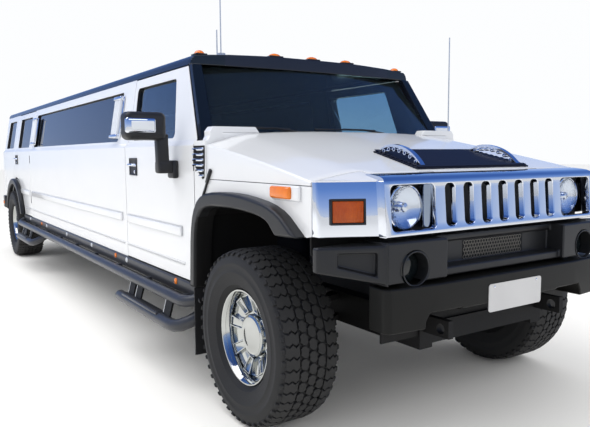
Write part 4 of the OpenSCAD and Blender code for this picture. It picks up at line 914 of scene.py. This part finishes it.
markerSet = {"low": (-4.012, 1.0005, 0.640), "high": (-3.942, 1.0115, 0.682), "padRear": -4.088, "padFront": -4.036,
             "padIn": 0.30, "padOut": 0.74, "padHigh": 0.755}
low, high, rear, front, inner, outer, base = markerSet.values()
bm = roundBox(low, high, 0.004, 3)   # amber marker and a ribbed step pad on each end of the rear bumper
addBox(bm, (rear, inner, base - 0.001), (front, outer, base + 0.003), 0.001, 1, look=1)
for k in range(4):
    along = rear + 0.006 + k * 0.012
    addBox(bm, (along, inner + 0.01, base + 0.002), (along + 0.004, outer - 0.01, base + 0.005), look=1)
placePiece("rearBumperTrim", bothHalves(bm), "amberLens blackTrim")

guardSet = {"low": (3.925, -0.66, 0.500), "high": (3.937, 0.66, 0.800)}   # dark guard behind the lower valance
placePiece("lowerGuard", roundBox(guardSet["low"], guardSet["high"], 0.004), "frameBlack")

meshSet = {"half": 0.204, "low": 0.842, "high": 0.926, "cell": 0.019, "face": 3.9912}
half, low, high, cell, face = meshSet.values()
bm = bmesh.new()
row = 0
rise = low + cell * 0.5
while rise < high:   # expanded metal in the bumper's mouth
    across = -half + (cell * 0.5 if row % 2 else 0)
    while across < half:
        link = latheRing([(0.0078, 0.0), (0.0112, 0.0), (0.0112, 0.002), (0.0078, 0.002)], 6)
        joinPart(bm, link, shift(face, across, rise) @ forwardTurn)
        across += cell
    rise += cell * 0.87
    row += 1
addBox(bm, (face - 0.0009, -half - 0.012, low - 0.004), (face - 0.0003, half + 0.014, high + 0.010), look=1)
placePiece("bumperMesh", bm, "wovenSteel frameBlack")

fogSet = {"face": 4.086, "out": 0.600, "high": 0.852, "radius": 0.074}
face, out, high, r = fogSet.values()
bm = bmesh.new()
for look, profile in enumerate((   # a fine edge ring, and a lamp lens deep in each hole, painted black as the shade in the hole
        [(r - 0.006, -0.014), (r - 0.0045, 0.0002), (r - 0.0015, 0.0014), (r + 0.0015, 0.0002)],
        [(r - 0.001, -0.075), (r - 0.004, -0.060), (r * 0.7, -0.052), (r * 0.35, -0.048), (0.0005, -0.047),
         (0.0005, -0.075)])):
    joinPart(bm, latheRing(profile, 48), shift(face, out, high) @ forwardTurn, look)
placePiece("fogLampSet", bothHalves(bm), "satinGrey pillarBlack")
print("bumper dressed")


wiperSet = {"pivots": ((2.845, -0.36), (2.845, 0.30)), "reach": 0.52}
bm = bmesh.new()
for along, across in wiperSet["pivots"]:
    cap = latheRing([(0.018, 0.0), (0.018, 0.012), (0.012, 0.018), (0.0005, 0.019), (0.0005, 0.0)], 20)
    joinPart(bm, cap, shift(along, across, 1.448) @ turned(90, "X"))
    joinPart(bm, tubeAlong([(along, across, 1.462), (along - 0.018, across - 0.14, 1.480),
                            (along - 0.030, across - 0.30, 1.482)], 0.006, 8))
    addBox(bm, (along - 0.036, across - wiperSet["reach"], 1.474), (along - 0.022, across - 0.04, 1.484), 0.003)
placePiece("wipers", bm, "blackTrim")

cushionSet = {"frontSeats": [((1.66, 0.19, 0.80), (2.12, 0.70, 0.97)), ((1.545, 0.19, 0.92), (1.70, 0.70, 1.50))],
              "sideBench": [((-2.41, 0.36, 0.80), (0.76, 0.66, 0.98)), ((-2.41, 0.66, 0.92), (0.76, 0.85, 1.36))],
              "rearBench": [((-3.62, -0.62, 0.80), (-3.19, 0.62, 0.98)), ((-3.74, -0.62, 0.92), (-3.58, 0.62, 1.40))]}
padSet = {"grid": 0.11, "crown": 0.018, "tuck": 0.010, "channel": 0.16}


def makePad(low, high):   # crowned faces, pulled in at sewn channels
    pad = roundBox(low, high)
    low, high = Vector(low), Vector(high)
    size, middle = high - low, (low + high) / 2
    longest = max(range(3), key=lambda a: size[a])
    for axis in range(3):
        cuts = min(24, max(2, int(size[axis] / padSet["grid"])))
        spans = [(e, e.verts[0].co - e.verts[1].co) for e in pad.edges]
        edges = [e for e, span in spans if abs(span[axis]) > 1e-4 and abs(span.length - abs(span[axis])) < 1e-5]
        bmesh.ops.subdivide_edges(pad, edges=edges, cuts=cuts, use_grid_fill=True)
    for vert in pad.verts:
        local = [2 * (vert.co[a] - middle[a]) / size[a] for a in range(3)]
        for axis in range(3):
            if abs(local[axis]) > 0.999:
                others = [a for a in range(3) if a != axis]
                crown = math.prod(1 - abs(local[a]) ** 4 for a in others)
                along = math.pi * (vert.co[longest] - low[longest]) / padSet["channel"]
                channel = padSet["tuck"] * abs(math.cos(along)) if longest in others else 0
                swell = (padSet["crown"] + channel) * crown - padSet["crown"] - padSet["tuck"]
                vert.co[axis] += math.copysign(swell, local[axis])
    bmesh.ops.smooth_vert(pad, verts=pad.verts, factor=0.5, use_axis_x=True, use_axis_y=True, use_axis_z=True)
    return pad


stands = ["seats"]
for seatName, blocks in cushionSet.items():
    for sideName, sign in (("left", 1), ("right", -1))[:2 if seatName == "frontSeats" else 1]:
        for kind, (low, high) in zip(("base", "back"), blocks):
            bm = bmesh.new()
            joinPart(bm, makePad(low, high), flips[sign])
            cushion = placePiece(f"{seatName}_{sideName}_{kind}", bm, "leather", stands=stands, sharpFrom=60)
            rounded = cushion.modifiers.new("rounded", "SUBSURF")
            rounded.levels = rounded.render_levels = 2
            stands = []
print("cushions made")


wheelSet = {"centre": (2.30, 0.44, 1.24), "tilt": 65, "radius": 0.178, "grip": 0.014}
centre, tilt, r, grip = wheelSet.values()
bm = bmesh.new()
onColumn = shift(*centre) @ turned(-tilt, "Y")
hoop = bmesh.new()
bmesh.ops.create_circle(hoop, segments=12, radius=grip, matrix=shift(r - grip, 0, 0) @ turned(90, "X"))
bmesh.ops.spin(hoop, geom=hoop.verts[:] + hoop.edges[:], cent=(0, 0, 0), axis=(0, 0, 1), angle=2 * math.pi, steps=48,
               use_merge=True, use_duplicate=False)
bmesh.ops.remove_doubles(hoop, verts=hoop.verts, dist=1e-5)
joinPart(bm, hoop, onColumn)
for angle in (0, 130, 230):
    addBox(bm, (0.03, -0.016, -0.007), (r - 0.018, 0.016, 0.007), 0.005, 2, onColumn @ turned(angle, "Z"))
addBox(bm, (-0.055, -0.055, -0.018), (0.055, 0.055, 0.014), 0.014, 3, onColumn)
placePiece("steeringWheelGrip", bm, "blackTrim")
print("cabin dressed")


def addObject(name, data, place=None):
    thing = bpy.data.objects.new(name, data)
    if place is not None:
        thing.matrix_world = place
    scene.collection.objects.link(thing)
    return thing


viewSet = {"place": (5.936, -2.416, 1.331), "yaw": 146.72, "pitch": -5.49, "roll": -0.39, "lens": 37.82}
yaw, pitch, roll = (math.radians(viewSet[k]) for k in ("yaw", "pitch", "roll"))
ahead = Vector((math.cos(pitch) * math.cos(yaw), math.cos(pitch) * math.sin(yaw), math.sin(pitch)))
right = Vector((ahead.y, -ahead.x, 0)).normalized()
upward = right.cross(ahead)
rightRolled = right * math.cos(roll) + upward * math.sin(roll)
upRolled = upward * math.cos(roll) - right * math.sin(roll)
cameraData = bpy.data.cameras.new("photoView")
cameraData.sensor_width = 36
cameraData.lens = viewSet["lens"]
cameraData.clip_end = 200
turn = Matrix((rightRolled, upRolled, -ahead)).transposed().to_4x4()
scene.camera = addObject("photoView", cameraData, shift(*viewSet["place"]) @ turn)

floorSet = {"half": 60}
bm = bmesh.new()
bmesh.ops.create_grid(bm, x_segments=1, y_segments=1, size=floorSet["half"])
floorMesh = bpy.data.meshes.new("paleFloor")
bm.to_mesh(floorMesh)
bm.free()
floorMesh.materials.append(finishes["paleFloor"])
addObject("paleFloor", floorMesh)

skySet = {"studio": (0.98, 0.99, 1.0),
          "steps": ((0.0, (0.62, 0.72, 0.93)), (0.10, (0.36, 0.51, 0.88)), (0.28, (0.15, 0.30, 0.72)),
                    (0.60, (0.06, 0.15, 0.48)), (1.0, (0.04, 0.11, 0.38)))}
scene.world = bpy.data.worlds.new("studio")
scene.world.use_nodes = True
tree = scene.world.node_tree
coords = addNode(tree, "TexCoord")
parts = addNode(tree, "SeparateXYZ")
ramp = addNode(tree, "ValToRGB")
stops = ramp.color_ramp.elements
while len(stops) < len(skySet["steps"]):
    stops.new(0.5)
for stop, (position, colour) in zip(stops, skySet["steps"]):
    stop.position = position
    stop.color = (*colour, 1)
rays = addNode(tree, "LightPath")   # white studio, with a blue dome for mirrors and glass
blend = addNode(tree, "Mix", {6: (*skySet["studio"], 1)})
blend.data_type = "RGBA"
for output, socket in ((coords.outputs["Generated"], parts.inputs[0]), (parts.outputs["Z"], ramp.inputs["Fac"]),
                       (rays.outputs["Is Glossy Ray"], blend.inputs[0]), (ramp.outputs["Color"], blend.inputs[7]),
                       (blend.outputs[2], tree.nodes["Background"].inputs["Color"])):
    tree.links.new(output, socket)
scene.view_settings.view_transform = "Standard"

lightSet = {"overhead": ((-0.5, -4.0, 8.0), (0.0, -0.6, 0.8), 7.0, 440),   # place, aim, size, power
            "side": ((1.0, -9.5, 6.5), (0.0, 0, 1.0), 6.0, 60), "nose": ((10.5, 1.0, 6.0), (3.5, 0, 1.0), 4.0, 90)}
for lightName, (place, aim, size, power) in lightSet.items():
    light = bpy.data.lights.new(lightName, "AREA")
    light.energy = power
    light.size = size
    turn = (Vector(aim) - Vector(place)).to_track_quat("-Z", "Y").to_matrix().to_4x4()
    addObject(lightName, light, shift(*place) @ turn)
print("camera, floor and lights set")
